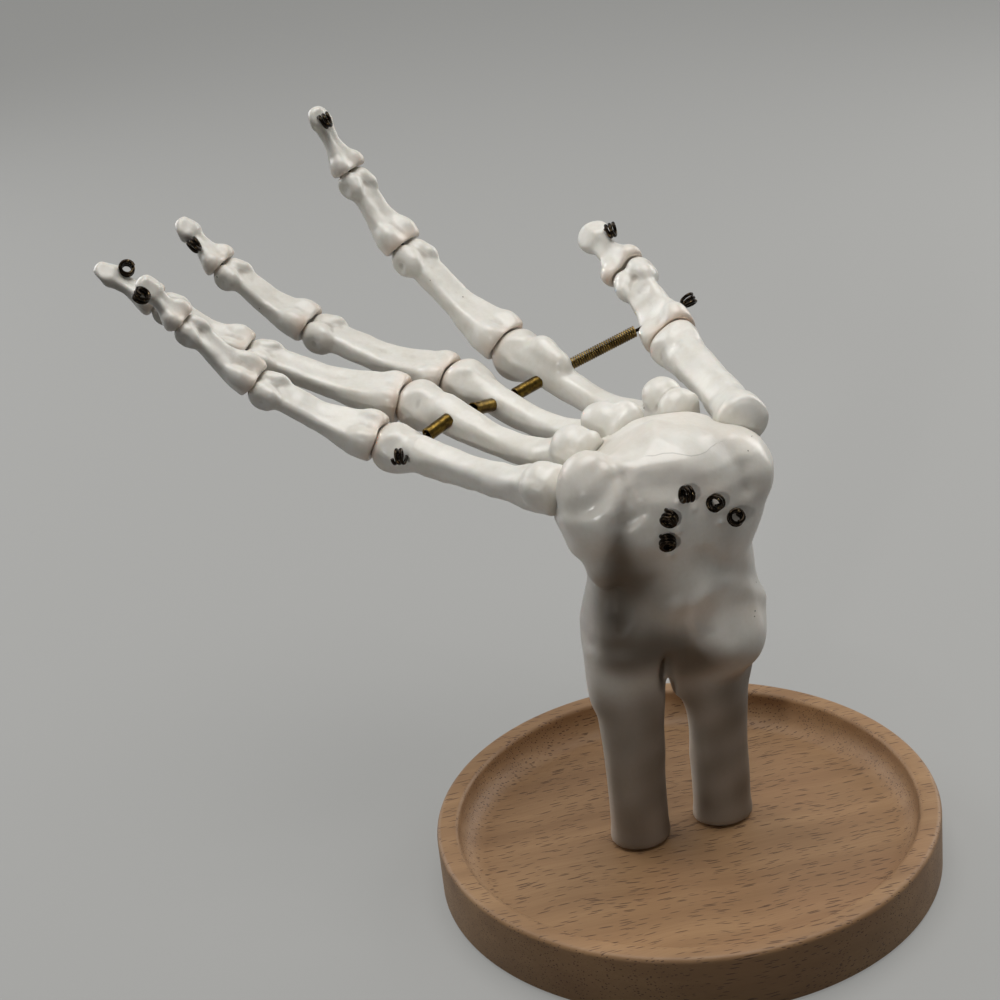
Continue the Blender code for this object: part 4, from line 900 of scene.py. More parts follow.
@dataclass
class Bone:
    """One bone: its sizes, its place, and the field that its skin is taken from."""

    name: str
    body: str
    place: Matrix
    shaft: Shaft
    head: Head | None = None
    lean: float = 0.0
    base_head: Head | None = None
    base: tuple = (0.0, 0.0)
    ray: Ray | None = None
    step: float = 0.4
    seed: int = 1
    palm_power: float = 3.8
    palm_flat: float = 0.20
    rim_set_back: float = 1.0
    neck_soft: float = 0.8
    grid_reach: float = 9.5

    def stations(self) -> list:
        """Half sizes along the bone, from its base to its far end."""
        raise NotImplementedError

    def details(self, field_now: np.ndarray, p: np.ndarray) -> np.ndarray:
        """Knobs, ridges and hollows of this kind of bone."""
        raise NotImplementedError

    def start(self) -> float:
        """Where the bone's base begins."""
        return self.base_head.cup_start() if self.base_head else 0.0

    def bow_end(self) -> float:
        """Where the bone's bow ends."""
        return self.stations()[-1][0]

    def middle_share(self, along: np.ndarray) -> np.ndarray:
        """0 at both ends of the shaft and 1 half way."""
        start = self.start()
        return np.sin(math.pi * ramp(along, start, self.bow_end()))

    def shaft_field(self, p: np.ndarray) -> np.ndarray:
        """Field of the shaft: round at the back, flatter between two crests on the palm's side."""
        along, aside = p[..., 0], p[..., 1]
        middle = self.middle_share(along)
        up = p[..., 2] + self.shaft.bow * middle
        wide, high = eased(self.stations(), along)
        palm = np.clip(up / high, 0.0, 1.0)
        spread = np.sqrt(middle)
        high = high * np.where(up > 0.0, 1.0 - self.palm_flat * spread, 1.0)
        power = np.where(up > 0.0, 2.4 + (self.palm_power - 2.4) * spread, 2.2)
        share = ((np.abs(aside) / wide) ** power + (np.abs(up) / high) ** power) ** (1.0 / power)
        tube = (share - 1.0) * np.minimum(wide, high)
        tube += 0.4 * spread * palm ** 2 * np.exp(-(aside / (0.45 * wide)) ** 2)
        near_end = smooth_max(tube, self.start() + self.rim_set_back * palm ** 1.5 - along, 2.0)
        far = self.shaft.length - (0.55 * self.head.radius if self.head else 0.0)
        return smooth_max(near_end, along - far, 1.2)

    def head_field(self, p: np.ndarray) -> np.ndarray:
        """Field of the head, turned about the hinge line."""
        turn = math.radians(self.lean)
        ahead, aside = p[..., 0] - self.shaft.length, p[..., 1]
        across = aside * math.cos(turn) - ahead * math.sin(turn)
        ahead = ahead * math.cos(turn) + aside * math.sin(turn)
        value = self.head.surface(ahead, across, p[..., 2])
        deeper = 1.6 * self.head.groove * np.clip(p[..., 2] / self.head.radius, 0.0, 1.0)
        return value + deeper * np.exp(-(across / (0.24 * self.head.half_width)) ** 2)

    def full_head(self, p: np.ndarray) -> np.ndarray:
        """Field of the head with everything that belongs to it alone."""
        return self.head_field(p)

    def full_field(self, p: np.ndarray) -> np.ndarray:
        """Field of the whole bone in its own measures."""
        value = self.shaft_field(p)
        if self.head:
            value = smooth_min(value, self.full_head(p), self.neck_soft)
        value = self.details(value, p)
        rough = (0.08 * unevenness(p, 6.5, self.seed) + 0.16 * facets_of(p, 11.0, self.seed + 5)
                 + 0.03 * unevenness(p, 2.6, self.seed + 7))
        if self.head:
            ahead = np.clip((self.shaft.length - 0.2 * self.head.radius - p[..., 0]) / 1.5, 0.0, 1.0)
            rough = rough * ahead + 0.12 * (1.0 - ahead)
        value = value + rough
        if self.base_head:
            cup = self.base_head.surface(p[..., 0], p[..., 1], p[..., 2], self.base_head.gap)
            value = smooth_max(value, -cup, 0.55)
        return value

    def build(self) -> None:
        """Make the bone's mesh and dress it."""
        wide, fine, coarse = self.grid_reach, 0.10, 0.55
        end = self.shaft.length + (self.head.radius if self.head else 1.0) + 1.5
        low = (self.start() - 2.5, -wide, -wide - self.shaft.bow)
        places = grid_places(low, (end, wide, wide), self.step)
        vertices, faces = skin_of(self.full_field(places), low, self.step)
        vertices = relaxed(vertices, faces, 2)
        hollow = hollowness(vertices, faces, fine, coarse)
        ends = vertices[:, 0] - self.start() if self.base_head else self.shaft.length - vertices[:, 0] + 4.0
        cloud = 0.5 + 0.5 * unevenness(vertices, 7.0, self.seed + 3)
        warmth = np.clip(1.0 - ends / 4.5, 0.0, 1.0) * (0.35 + 0.65 * cloud)
        piece = mesh_object(f"{self.name}_bone", placed(vertices, self.place), faces, BONE,
                            {"hollow": hollow, "warmth": warmth})
        finish_piece(piece, self.body, BONE, self.name)


@dataclass
class Metacarpal(Bone):
    """A palm bone: a knob in the wrist, a bowed shaft and a round head."""

    palm_power: float = 2.2
    palm_flat: float = 0.06
    rim_set_back: float = 0.0
    neck_soft: float = 1.6
    grid_reach: float = 10.5
    facets: tuple = (((-0.52, 0.56, 0.64), 0.90), ((-0.56, -0.50, 0.66), 0.92), ((-0.30, 0.86, -0.42), 0.90),
                     ((-0.30, -0.86, -0.42), 0.90), ((-0.62, 0.05, 0.78), 1.02))

    def stations(self) -> list:
        """Half sizes along the bone."""
        wide, high = self.base
        length, head, neck = self.shaft.length, self.head, self.ray.neck
        return [(0.0, 0.86 * wide, 0.86 * high), (1.2, wide, high), (5.0, wide, 0.98 * high),
                (9.0, 0.92 * wide, 0.90 * high),
                (0.32 * length, 1.04 * self.shaft.half_width, 1.10 * self.shaft.half_height),
                (0.52 * length, self.shaft.half_width, self.shaft.half_height),
                (length - 1.3 * head.radius, neck * head.half_width, neck * head.radius)]

    def bow_end(self) -> float:
        """The bow runs on under the head of a strongly bowed bone."""
        return self.shaft.length - self.ray.arch_end * self.head.radius

    def full_head(self, p: np.ndarray) -> np.ndarray:
        """The round head with a blunt tail on the palm's side, cut by flat facets."""
        radius, half, length = self.head.radius, self.head.half_width, self.shaft.length
        tail = egg(p, (length - 0.55 * radius, 0.0, 0.12 * radius), (0.94 * radius, 0.88 * half, 0.80 * radius))
        value = smooth_min(self.head_field(p), tail, 0.8)
        offset = (p - np.array((length, 0.0, 0.0))) / radius
        for facing, reach in self.facets:
            value = smooth_max(value, (offset @ np.array(facing) - reach) * radius, 0.6)
        for centre, sizes in self.ray.crown:
            value = add_egg(value, p, centre, sizes, 2.6)
        return value

    def details(self, field_now: np.ndarray, p: np.ndarray) -> np.ndarray:
        """Flat sides of the head, a valley along the shaft, and the knobs and waist of the base."""
        wide, value = self.base[0], field_now
        radius, half, length = self.head.radius, self.head.half_width, self.shaft.length
        for side in (-1, 1):
            value = cut_egg(value, p, (length - 0.1 * radius, side * (half + 2.6), 0.0), (4.4, 3.0, 4.2), 1.2)
            value = cut_egg(value, p, (0.24 * length, side * (wide + 1.4), 0.0), (4.5, 2.6, 4.4), 1.8)
        for centre, sizes in self.ray.knobs:
            value = add_egg(value, p, centre, sizes, 0.9)
        valley = line_distance(p, ((length - 2.0 * radius, 3.4, 1.2 - self.shaft.bow * 0.5),
                                   (0.45 * length, 4.2, 0.6 - self.shaft.bow)))
        return value + 0.55 * np.exp(-(valley / 1.8) ** 2)


@dataclass
class Phalanx(Bone):
    """A finger bone with a cup at its base and a two-lobed head."""

    def stations(self) -> list:
        """Half sizes along the bone."""
        start, head = self.start(), self.head
        wide, high = self.base_head.half_width, self.base_head.cup_half_height()
        return [(start, wide - 0.5, high - 0.3), (start + 0.8, wide, high),
                (start + 2.8, 0.97 * wide, 0.95 * high),
                (start + 0.56 * (self.shaft.length - start), self.shaft.half_width, self.shaft.half_height),
                (self.shaft.length - 1.25 * head.radius, 0.72 * head.half_width, 0.68 * head.radius)]

    def details(self, field_now: np.ndarray, p: np.ndarray) -> np.ndarray:
        """Soft shoulders and hollow of the base, the lobes and flat sides of the head, and the side crests."""
        start, radius, half, length = self.start(), self.head.radius, self.head.half_width, self.shaft.length
        wide, high = self.base_head.half_width, self.base_head.cup_half_height()
        waist, low = self.shaft.half_width, self.shaft.half_height
        value = field_now
        for side in (-1, 1):
            shoulder = (start + 3.4, side * 0.56 * wide, 0.30 * high), (3.6, 0.44 * wide, 0.58 * high)
            value = add_egg(value, p, *shoulder, 1.6)
            lobe = ((length - 0.42 * radius, side * 0.58 * half, 0.26 * radius),
                    (0.72 * radius, 0.40 * half, 0.66 * radius))
            value = add_egg(value, p, *lobe, 0.6)
            pit = (length - 0.1 * radius, side * (half + 1.5), -0.05 * radius), (2.4, 2.1, 2.6)
            value = cut_egg(value, p, *pit, 1.0)
            crest = ((length - 1.1 * radius, side * 0.62 * half, 0.45 * radius),
                     (start + 0.55 * (length - start), side * 0.86 * waist, 0.46 * low - self.shaft.bow),
                     (start + 4.5, side * 0.74 * wide, 0.55 * high))
            value = value - 0.35 * np.exp(-(line_distance(p, crest) / 1.1) ** 2)
        hollow = (start + 6.0, 0.0, high + 0.8), (5.4, 0.56 * wide, 0.40 * high)
        notch = (length - 1.45 * radius, 0.0, 1.02 * radius), (0.85 * radius, 0.60 * half, 0.46 * radius)
        back = (length - 1.25 * radius, 0.0, -1.08 * radius), (0.9 * radius, 0.6 * half, 0.36 * radius)
        for form, soft in ((hollow, 1.6), (notch, 1.3), (back, 1.3)):
            value = cut_egg(value, p, *form, soft)
        if self.ray.scoop and self.name.endswith("proximal"):
            value = cut_egg(value, p, *self.ray.scoop, 1.0)
        return value


@dataclass
class Fingertip(Bone):
    """The last bone: a flared base, a thin waist and a flat round end."""

    facets: tuple = (((0.10, 0.30, 0.95), 1.10), ((0.20, -0.55, 0.80), 1.20), ((0.30, 0.70, -0.64), 1.30))

    def stations(self) -> list:
        """Half sizes along the bone."""
        start, waist, low = self.start(), self.shaft.half_width, self.shaft.half_height
        wide, high = self.base_head.half_width, self.base_head.cup_half_height()
        length = self.shaft.length
        return [(start, wide - 0.4, high - 0.3), (start + 0.7, wide, high),
                (start + 0.50 * (length - start), waist, low),
                (length - 1.9 * waist, 1.25 * waist, 1.15 * low),
                (length - 0.2 * waist, 1.2 * waist, 1.05 * low)]

    def details(self, field_now: np.ndarray, p: np.ndarray) -> np.ndarray:
        """The round tuft with its facets, and the shoulders and hollow of the base."""
        start, waist, low, length = self.start(), self.shaft.half_width, self.shaft.half_height, self.shaft.length
        wide, high = self.base_head.half_width, self.base_head.cup_half_height()
        middle = (length - 1.45 * waist, 0.0, 0.0)
        tuft = egg(p, middle, (1.50 * waist, 1.62 * waist, 1.42 * low))
        offset = p - np.array(middle)
        for facing, reach in self.facets:
            tuft = smooth_max(tuft, offset @ np.array(facing) - reach * low, 0.4)
        value = smooth_min(smooth_max(field_now, p[..., 0] - (length - 1.6 * waist), 1.5), tuft, 0.7)
        for side in (-1, 1):
            shoulder = (start + 2.4, side * 0.58 * wide, 0.26 * high), (2.4, 0.42 * wide, 0.56 * high)
            value = add_egg(value, p, *shoulder, 1.2)
        return cut_egg(value, p, (start + 5.0, 0.0, high + 0.3), (3.8, 0.52 * wide, 0.42 * high), 1.2)


# Wrist block

LINE_TURN = math.radians(53.5)
LINE = Vector((math.cos(LINE_TURN), math.sin(LINE_TURN), 0.0))
FACE = Vector((math.sin(LINE_TURN), -math.cos(LINE_TURN), 0.0))
UP = Vector((0.0, 0.0, 1.0))
STUB_DEPTH = 1.8
BLOCK_MIDDLE = Vector((-3.5, 3.3, 0.0))
FACE_DEPTH = 15.0


def block_point(across: float, depth: float, height: float) -> Vector:
    """World place, in millimetres, from the block's own measures."""
    return BLOCK_MIDDLE + LINE * across + FACE * depth + UP * height


@dataclass(frozen=True)
class Stroke:
    """A ridge, or a valley where the rise is negative, modelled along a line on the block's face.

    It is as wide to the right as to the left unless it is told otherwise.
    """

    points: tuple
    rise: float
    left: float
    right: float | None = None

    def amount(self, places: np.ndarray) -> np.ndarray:
        """Rise at places given across and up the face, with its own width at either side of the line."""
        right = self.left if self.right is None else self.right
        nearest, width = np.full(places.shape[:-1], FAR), np.full(places.shape[:-1], self.left)
        for first, second in zip(self.points, self.points[1:]):
            first, step = np.array(first), np.array(second) - np.array(first)
            offset = places - first
            share = np.clip((offset @ step) / (step @ step), 0.0, 1.0)
            distance = np.linalg.norm(offset - share[..., None] * step, axis=-1)
            side = np.where(step[0] * offset[..., 1] > step[1] * offset[..., 0], self.left, right)
            width = np.where(distance < nearest, side, width)
            nearest = np.minimum(nearest, distance)
        return self.rise * np.exp(-(nearest / width) ** 2)


@dataclass
class WristBlock:
    """Wrist bones, forearm ends and two stubs, formed by hand in one piece."""

    step: float = 0.62
    foot: float = 7.3
    seat_gap: float = 0.3
    low: tuple = (-33.0, -25.0, 5.3)
    high: tuple = (34.0, 20.0, 116.0)
    stubs: tuple = ((-11.4, 7.5), (10.3, 7.6))
    rings: tuple = (
        (44.0, -17.6, 17.8, 5.6), (48.0, -18.3, 19.4, 7.4), (52.0, -18.8, 21.0, 9.4),
        (56.0, -19.2, 22.6, 11.2), (60.0, -19.6, 24.0, 12.6), (65.0, -19.4, 24.4, 13.7),
        (73.0, -16.6, 22.2, 14.4), (80.0, -16.2, 21.4, 15.5), (87.0, -21.0, 24.6, 17.3),
        (94.0, -23.4, 26.6, 18.0), (99.0, -22.0, 26.2, 17.6), (103.5, -18.5, 23.6, 15.8),
        (107.0, -11.5, 17.6, 11.9), (109.0, -4.5, 9.5, 6.5))
    swellings: tuple = (
        ((-14.5, 6.0, 93.0), (8.8, 7.0, 16.0), 5.0), ((12.0, 7.0, 58.0), (9.0, 7.0, 9.0), 3.0),
        ((6.0, -13.0, 98.0), (17.0, 8.5, 9.0), 4.0), ((19.5, 0.0, 97.5), (7.0, 11.0, 8.0), 3.0),
        ((3.0, 4.0, 102.0), (12.0, 9.0, 8.0), 3.0), ((-17.0, 7.0, 98.0), (7.0, 5.5, 8.0), 2.6),
        ((1.5, -3.0, 105.6), (4.6, 5.0, 5.0), 2.0))
    gap: tuple = (((-3.4, 0.0, 41.5), (1.7, 40.0, 10.5), 1.0), ((-1.8, 0.0, 36.5), (3.0, 40.0, 9.5), 1.5))
    gap_lean: tuple = (0.29, 0.0, -0.45)
    hollows: tuple = (
        ((-4.4, 11.5, 53.0), (1.9, 6.5, 5.5), 2.0), ((0.0, -12.0, 58.0), (4.0, 8.0, 14.0), 4.0),
        ((5.0, -22.5, 84.0), (14.0, 6.0, 5.0), 5.0), ((26.5, 3.0, 82.0), (4.0, 9.0, 5.5), 3.0))
    top_cut: tuple = ((-0.432, -0.259, 0.864), 96.0, 1.2)
    shoulder: tuple = ((-18.0, 4.5, 101.6), (6.8, 6.5, 8.6), 3.0)
    viewpoint: tuple = (-143.15, 366.73, 267.06)
    strokes: tuple = (
        Stroke(((-18.8, 113.1), (-16.9, 111.2), (-15.1, 108.3), (-14.2, 104.8),
                (-14.2, 102.0), (-15.4, 98.7), (-15.9, 95.3), (-17.2, 92.0)), 0.9, 1.2, 3.0),
        Stroke(((-26.0, 101.6), (-22.4, 101.2), (-19.0, 102.6), (-16.8, 104.8)), -0.55, 3.6, 1.8),
        Stroke(((-27.3, 99.9), (-23.1, 98.0), (-19.1, 96.1)), 0.7, 3.0),
        Stroke(((-15.7, 95.9), (-16.0, 91.7), (-16.1, 88.1), (-16.7, 80.9), (-17.0, 76.0)), -1.5, 4.2, 2.4),
        Stroke(((-13.6, 107.0), (-12.1, 102.7), (-10.1, 97.9), (-13.0, 96.5)), -0.8, 1.6),
        Stroke(((-5.6, 108.6), (-1.9, 108.0), (2.2, 106.1)), 0.7, 3.4),
        Stroke(((-8.4, 104.6), (-5.0, 103.8), (-1.2, 104.3)), -0.45, 1.8, 3.0),
        Stroke(((8.2, 110.2), (11.8, 107.0), (14.4, 102.9), (15.1, 98.4)), -0.8, 2.4),
        Stroke(((-2.0, 119.2), (-1.3, 115.4)), -0.6, 2.5),
        Stroke(((-16.6, 114.9), (-13.2, 111.6), (-9.8, 108.2)), 0.6, 2.4, 2.2),
        Stroke(((-24.1, 89.4), (-19.1, 88.6)), -1.0, 3.0),
        Stroke(((-14.0, 91.0), (-10.8, 89.4), (-7.5, 89.6)), 0.7, 3.0),
        Stroke(((-13.4, 86.7), (-8.2, 85.7)), -0.5, 3.0),
        Stroke(((-2.4, 73.1), (0.5, 73.1), (4.0, 73.7)), 1.1, 2.8, 2.4),
        Stroke(((-9.0, 69.5), (-5.7, 67.4), (-1.4, 67.0)), -0.9, 4.4, 5.0),
        Stroke(((5.6, 77.0), (11.2, 76.1), (16.7, 72.4)), 0.6, 2.8, 3.4),
        Stroke(((4.6, 83.9), (8.3, 80.3), (13.0, 77.1), (17.8, 74.2)), -0.6, 2.6),
        Stroke(((0.5, 69.3), (1.1, 63.8), (2.6, 59.6), (4.6, 56.9)), 0.9, 3.0, 1.5),
        Stroke(((4.0, 66.6), (5.8, 64.6), (8.2, 61.9)), -0.7, 2.6),
        Stroke(((5.1, 60.2), (9.4, 58.5)), 0.7, 3.4),
        Stroke(((-7.7, 80.4), (-6.1, 78.2), (-5.1, 76.5)), -0.6, 2.4),
        Stroke(((-5.6, 120.7), (-4.4, 118.3), (-3.7, 115.4)), 0.5, 2.6))
    # Strokes of painted shade, partly a brown stain, where the block's front lies in shadow.
    ages: tuple = (
        Stroke(((-15.1, 93.6), (-15.8, 88.0)), 0.85, 2.2),
        Stroke(((-16.4, 83.8), (-17.5, 76.2), (-17.9, 65.8)), 1.0, 7.0, 6.5),
        Stroke(((-9.0, 66.0), (-2.6, 63.8)), 0.95, 4.2, 10.0),
        Stroke(((2.0, 57.4), (11.3, 54.4)), 0.5, 6.5, 8.0),
        Stroke(((-9.6, 80.6), (-6.1, 75.3)), 0.55, 5.0),
        Stroke(((8.6, 109.4), (12.2, 106.2), (14.6, 102.3), (14.0, 95.3), (10.1, 86.5)), 0.32, 2.6),
        Stroke(((4.6, 83.9), (8.3, 80.3), (13.0, 77.1), (17.8, 74.2)), 0.25, 2.4),
        Stroke(((-25.0, 103.1), (-20.6, 105.4)), 0.25, 3.6),
        Stroke(((-9.4, 107.4), (-0.3, 103.4)), 0.1, 3.0))
    drops: tuple = ((-0.9, 98.3), (2.5, 95.9), (8.7, 91.0), (-3.7, 86.2), (-1.4, 91.5))
    crack: tuple = ((-7.9, 110.9), (-5.9, 110.4), (-3.9, 110.5), (-1.6, 110.1), (0.7, 109.2), (2.7, 108.4),
                    (4.7, 108.3), (6.3, 108.6), (7.5, 109.5), (8.7, 109.9))
    pits: tuple = ((17.2, 109.8), (16.1, 106.5), (15.7, 67.3), (15.5, 66.1))

    def stub(self, p: np.ndarray, middle: float, half_width: float) -> np.ndarray:
        """Field of one forearm stub with a rounded foot and a flare at its top."""
        height = p[..., 2]
        grow = 1.6 * ramp(height, 25.0, 51.0) ** 1.5 + 0.5 * ramp(height, 12.0, 7.0)
        lean = 2.2 * np.sign(middle) * ramp(height, 20.0, 52.0) ** 2
        offset_x, offset_y = p[..., 0] - middle + lean, p[..., 1] - STUB_DEPTH
        wide, deep = half_width - 0.5 + grow + np.abs(lean), 6.1 + grow
        tube = (np.hypot(offset_x / wide, offset_y / deep) - 1.0) * deep
        tube = smooth_max(tube, self.foot - height, 1.8)
        return smooth_max(tube, height - 60.0, 2.0)

    def torso(self, p: np.ndarray) -> np.ndarray:
        """Field of the block's main mass, ring by ring."""
        heights = np.array([ring[0] for ring in self.rings])
        level = np.clip(p[..., 2], heights[0], heights[-1])
        near, far, deep = (np.interp(level, heights, [ring[k] for ring in self.rings]) for k in (1, 2, 3))
        half = (far - near) / 2.0
        share = ((np.abs(p[..., 0] - (near + far) / 2.0) / half) ** 2.5
                 + (np.abs(p[..., 1] + 2.5 * deep / 18.0) / deep) ** 2.5) ** (1 / 2.5)
        side = (share - 1.0) * np.minimum(half, deep) * 0.85
        return smooth_max(smooth_max(side, p[..., 2] - heights[-1], 3.0), heights[0] - p[..., 2], 3.0)

    def face_places(self, p: np.ndarray) -> np.ndarray:
        """Places across and up the plane of the face, as seen from the viewpoint in front of it."""
        share = (FACE_DEPTH - self.viewpoint[1]) / (p[..., 1] - self.viewpoint[1])
        return np.stack([self.viewpoint[k] + share * (p[..., k] - self.viewpoint[k]) for k in (0, 2)], axis=-1)

    def charted(self, p: np.ndarray, strokes: tuple, drops: tuple = (), reach: float = 5.0) -> np.ndarray:
        """Amounts of strokes and drops over the block's front, fading out towards its back."""
        step, low = 0.4, (-42.0, 5.0)
        across, up = np.arange(low[0], 50.0, step), np.arange(low[1], 132.0, step)
        chart = np.stack(np.meshgrid(across, up, indexing="ij"), axis=-1)
        rise = sum(stroke.amount(chart) for stroke in strokes)
        for drop in drops:
            rise += 0.7 * np.exp(-(np.linalg.norm(chart - np.array(drop), axis=-1) / 0.8) ** 4)
        cell = (self.face_places(p) - np.array(low)) / step
        index = np.clip(cell.astype(int), 0, np.array(rise.shape) - 2)
        part = np.clip(cell - index, 0.0, 1.0)
        i, j, a, b = index[..., 0], index[..., 1], part[..., 0], part[..., 1]
        value = ((1 - a) * ((1 - b) * rise[i, j] + b * rise[i, j + 1])
                 + a * ((1 - b) * rise[i + 1, j] + b * rise[i + 1, j + 1]))
        return value * ramp(p[..., 1], -reach, 9.0 - reach)

    def masses(self, p: np.ndarray) -> np.ndarray:
        """Field of the block's main forms, with its worked unevenness and its strokes."""
        value = self.torso(p)
        for middle, half_width in self.stubs:
            value = smooth_min(value, self.stub(p, middle, half_width), 3.0)
        for form in self.swellings:
            value = add_egg(value, p, *form)
        for form in self.hollows:
            value = cut_egg(value, p, *form)
        leaning = p + (p[..., 1:2] - 8.0) * np.array(self.gap_lean)
        for form in self.gap:
            value = cut_egg(value, leaning, *form)
        facing, reach, soft = self.top_cut
        value = smooth_max(value, p @ np.array(facing) - reach, soft)
        value = add_egg(value, p, *self.shoulder)
        worked = np.maximum(ramp(p[..., 2], 24.0, 60.0), 0.3)
        value += worked * (0.22 * unevenness(p, 17.0, 3) + 0.14 * unevenness(p, 8.0, 5)
                           + 0.3 * facets_of(p, 19.0, 12))
        return value - self.charted(p, self.strokes, self.drops)

    def build(self, metacarpals: list[Metacarpal]) -> None:
        """Form the block, press the metacarpals' seats into it and dress it."""
        seats_start = 84.0
        p = grid_places(self.low, self.high, self.step)
        value = self.masses(p)
        upper = p[..., 2] > seats_start
        turn = Matrix((LINE, FACE, UP)).transposed().to_4x4()
        turn.translation = BLOCK_MIDDLE
        world = placed(p[upper], turn)
        for bone in metacarpals:
            local = placed(world, bone.place.inverted())
            seat = smooth_min(bone.shaft_field(local), bone.head_field(local), 1.0) - self.seat_gap
            value[upper] = smooth_max(value[upper], -seat, 0.5)
        vertices, faces = skin_of(value, self.low, self.step)
        vertices = relaxed(vertices, faces, 2)
        vertices[:, 2] = np.maximum(vertices[:, 2], self.foot)
        marks = self.marks(vertices, faces)
        piece = mesh_object("wrist_block_ivory", placed(vertices, turn), faces, BLOCK, marks)
        finish_piece(piece, "stand", BLOCK, "wrist_block")

    def marks(self, vertices: np.ndarray, faces: np.ndarray) -> dict[str, np.ndarray]:
        """Hollows, warm tints, the hairline crack, the pits, and the painted shade, partly a brown stain, on the
        block's surface.
        """
        pit_radius, no_crack = 0.6, 9.0
        hollow = hollowness(vertices, faces, 0.16, 1.5)
        height, front = vertices[:, 2], vertices[:, 1] > 0.0
        crotch = np.exp(-((vertices[:, 0] / 7.0) ** 2 + ((height - 54.0) / 10.0) ** 2))
        foot = ramp(height, 20.0, 6.0)
        warmth = np.clip(0.9 * crotch + 0.5 * foot + 0.12 * (1.0 + unevenness(vertices, 14.0, 9)), 0.0, 1.0)
        seen, line = self.face_places(vertices), np.array(self.crack)
        beyond = np.maximum(np.maximum(line[0, 0] - seen[:, 0], seen[:, 0] - line[-1, 0]), 0.0)
        crack = seen[:, 1] - np.interp(seen[:, 0], line[:, 0], line[:, 1])
        crack += np.sign(crack) * 3.0 * beyond
        crack = np.where(front, crack, no_crack)
        pit = sum(np.clip(1.0 - np.linalg.norm(seen - np.array(spot), axis=1) / pit_radius, 0.0, 1.0)
                  for spot in self.pits)
        pit *= front
        # Painted shade: the lower part and the faces turned to the front darken, partly a brown stain.
        low = ramp(height, 63.0, 46.0)
        facing = np.clip(1.5 * outward_normals(vertices, faces)[:, 1] + 0.5, 0.0, 1.0)
        cloud = 1.0 + 0.10 * unevenness(vertices, 9.0, 4)
        age = np.maximum(self.charted(vertices, self.ages, reach=12.0), 0.86 * low * facing) * cloud
        age = relaxed(np.clip(age, 0.0, 1.0)[:, None], faces, 30)[:, 0]
        return {"hollow": hollow, "warmth": warmth, "crack": crack, "pit": pit, "age": age}


# Wires, tubes and spring

@dataclass
class Eye:
    """A wire's end wound into a small standing eye."""

    radius: float = 1.60
    wire: float = 0.48
    turns: float = 2.3
    pitch: float = 1.04
    stand: float = 0.3
    points_per_turn: int = 14

    def points(self, start: Vector, outward: Vector, axis: Vector, side: int) -> list[Vector]:
        """Points that rise from a surface and wind into the eye.

        Args:
            start: Where the wire leaves the surface.
            outward: The way that it leaves.
            axis: The eye's own axis.
            side: 1 or -1, the side that the eye leans to.

        Returns:
            Places along the wire, from the surface to its cut end.
        """
        outward = outward.normalized()
        axis = (axis - outward * axis.dot(outward)).normalized()
        along = axis.cross(outward) * side
        centre = start + outward * (self.radius + self.wire + self.stand) + along * self.radius
        foot = start + outward * (0.5 * self.stand + 0.2)
        return [start, foot, *self.wound(centre, outward, along, axis)]

    def ring(self, centre: Vector, outward: Vector, axis: Vector, side: int) -> list[Vector]:
        """Points that rise from a surface under a ring turned about any axis.

        Args:
            centre: The middle of the wound ring.
            outward: The way that the wire leaves the surface.
            axis: The ring's axis, with its last turn outermost.
            side: 1 or -1, the side that the wire rises on.

        Returns:
            Places along the wire, from the surface to its cut end.
        """
        axis = axis.normalized()
        rise = (outward - axis * outward.dot(axis)).normalized()
        along = axis.cross(rise) * side
        first = centre - axis * (0.5 * self.pitch * self.turns)
        foot = first - along * self.radius
        return [foot - outward * (self.radius + self.wire + self.stand), foot - outward * 0.5 * self.radius,
                *self.wound(first, rise, along, axis)]

    def wound(self, centre: Vector, rise: Vector, along: Vector, axis: Vector) -> list[Vector]:
        """Places round the eye's turns, from the side opposite along and up through rise."""
        made = []
        for i in range(int(self.turns * self.points_per_turn) + 1):
            angle = math.tau * i / self.points_per_turn
            around = rise * math.sin(angle) - along * math.cos(angle)
            made.append(centre + around * self.radius + axis * (self.pitch * i / self.points_per_turn))
        return made


@dataclass
class FingerWires:
    """A finger's wire where it shows: the eye on the wrist, the crossings of the joints and the tip's eye."""

    ray: Ray
    bones: list
    radius: float = 0.48
    inside: float = 5.0
    strand_half: float = 1.6
    wrist_eye: Eye = field(default_factory=lambda: Eye(1.50, 0.48, 2.3, 1.02, 0.2))
    tip_eye: Eye = field(default_factory=Eye)

    def build(self) -> None:
        """Make the pieces of the wire, each riding on the bone that holds it."""
        across, height, axis, side = self.ray.exit
        axis = LINE * axis[0] + FACE * axis[1] + UP * axis[2]
        centre = block_point(across, FACE_DEPTH + self.wrist_eye.radius + self.wrist_eye.wire, height)
        eye = self.wrist_eye.ring(centre, FACE, axis, side)
        route = [*reversed(eye), eye[0] - FACE * self.inside]
        wire_piece(f"{self.ray.name}_wrist_eye", route, self.wrist_eye.wire, "stand", f"{self.ray.name}_wire")
        for bone in self.bones[1:]:
            middle, half = bone.base_head.radius, self.strand_half
            line = [bone.place @ Vector((x, 0, 0)) for x in (middle - half, middle, middle + half)]
            wire_piece(f"{bone.name}_strand", line, self.radius, bone.body)
        self.tip(self.bones[-1])

    def tip(self, last: Bone) -> None:
        """The eye at the fingertip, which leaves the bone square to its surface."""
        centre, axis, side = self.ray.eye
        step = 0.05 * np.eye(3)
        slope = last.full_field((np.array(centre) + np.vstack([step, -step]))[:, None, :])[:, 0]
        outward = Vector(slope[:3] - slope[3:]).normalized()
        route = [last.place @ point for point in self.tip_eye.ring(Vector(centre), outward, Vector(axis), side)]
        wire_piece(f"{self.ray.name}_end_eye", route, self.radius, last.body, f"{self.ray.name}_tip_eye")


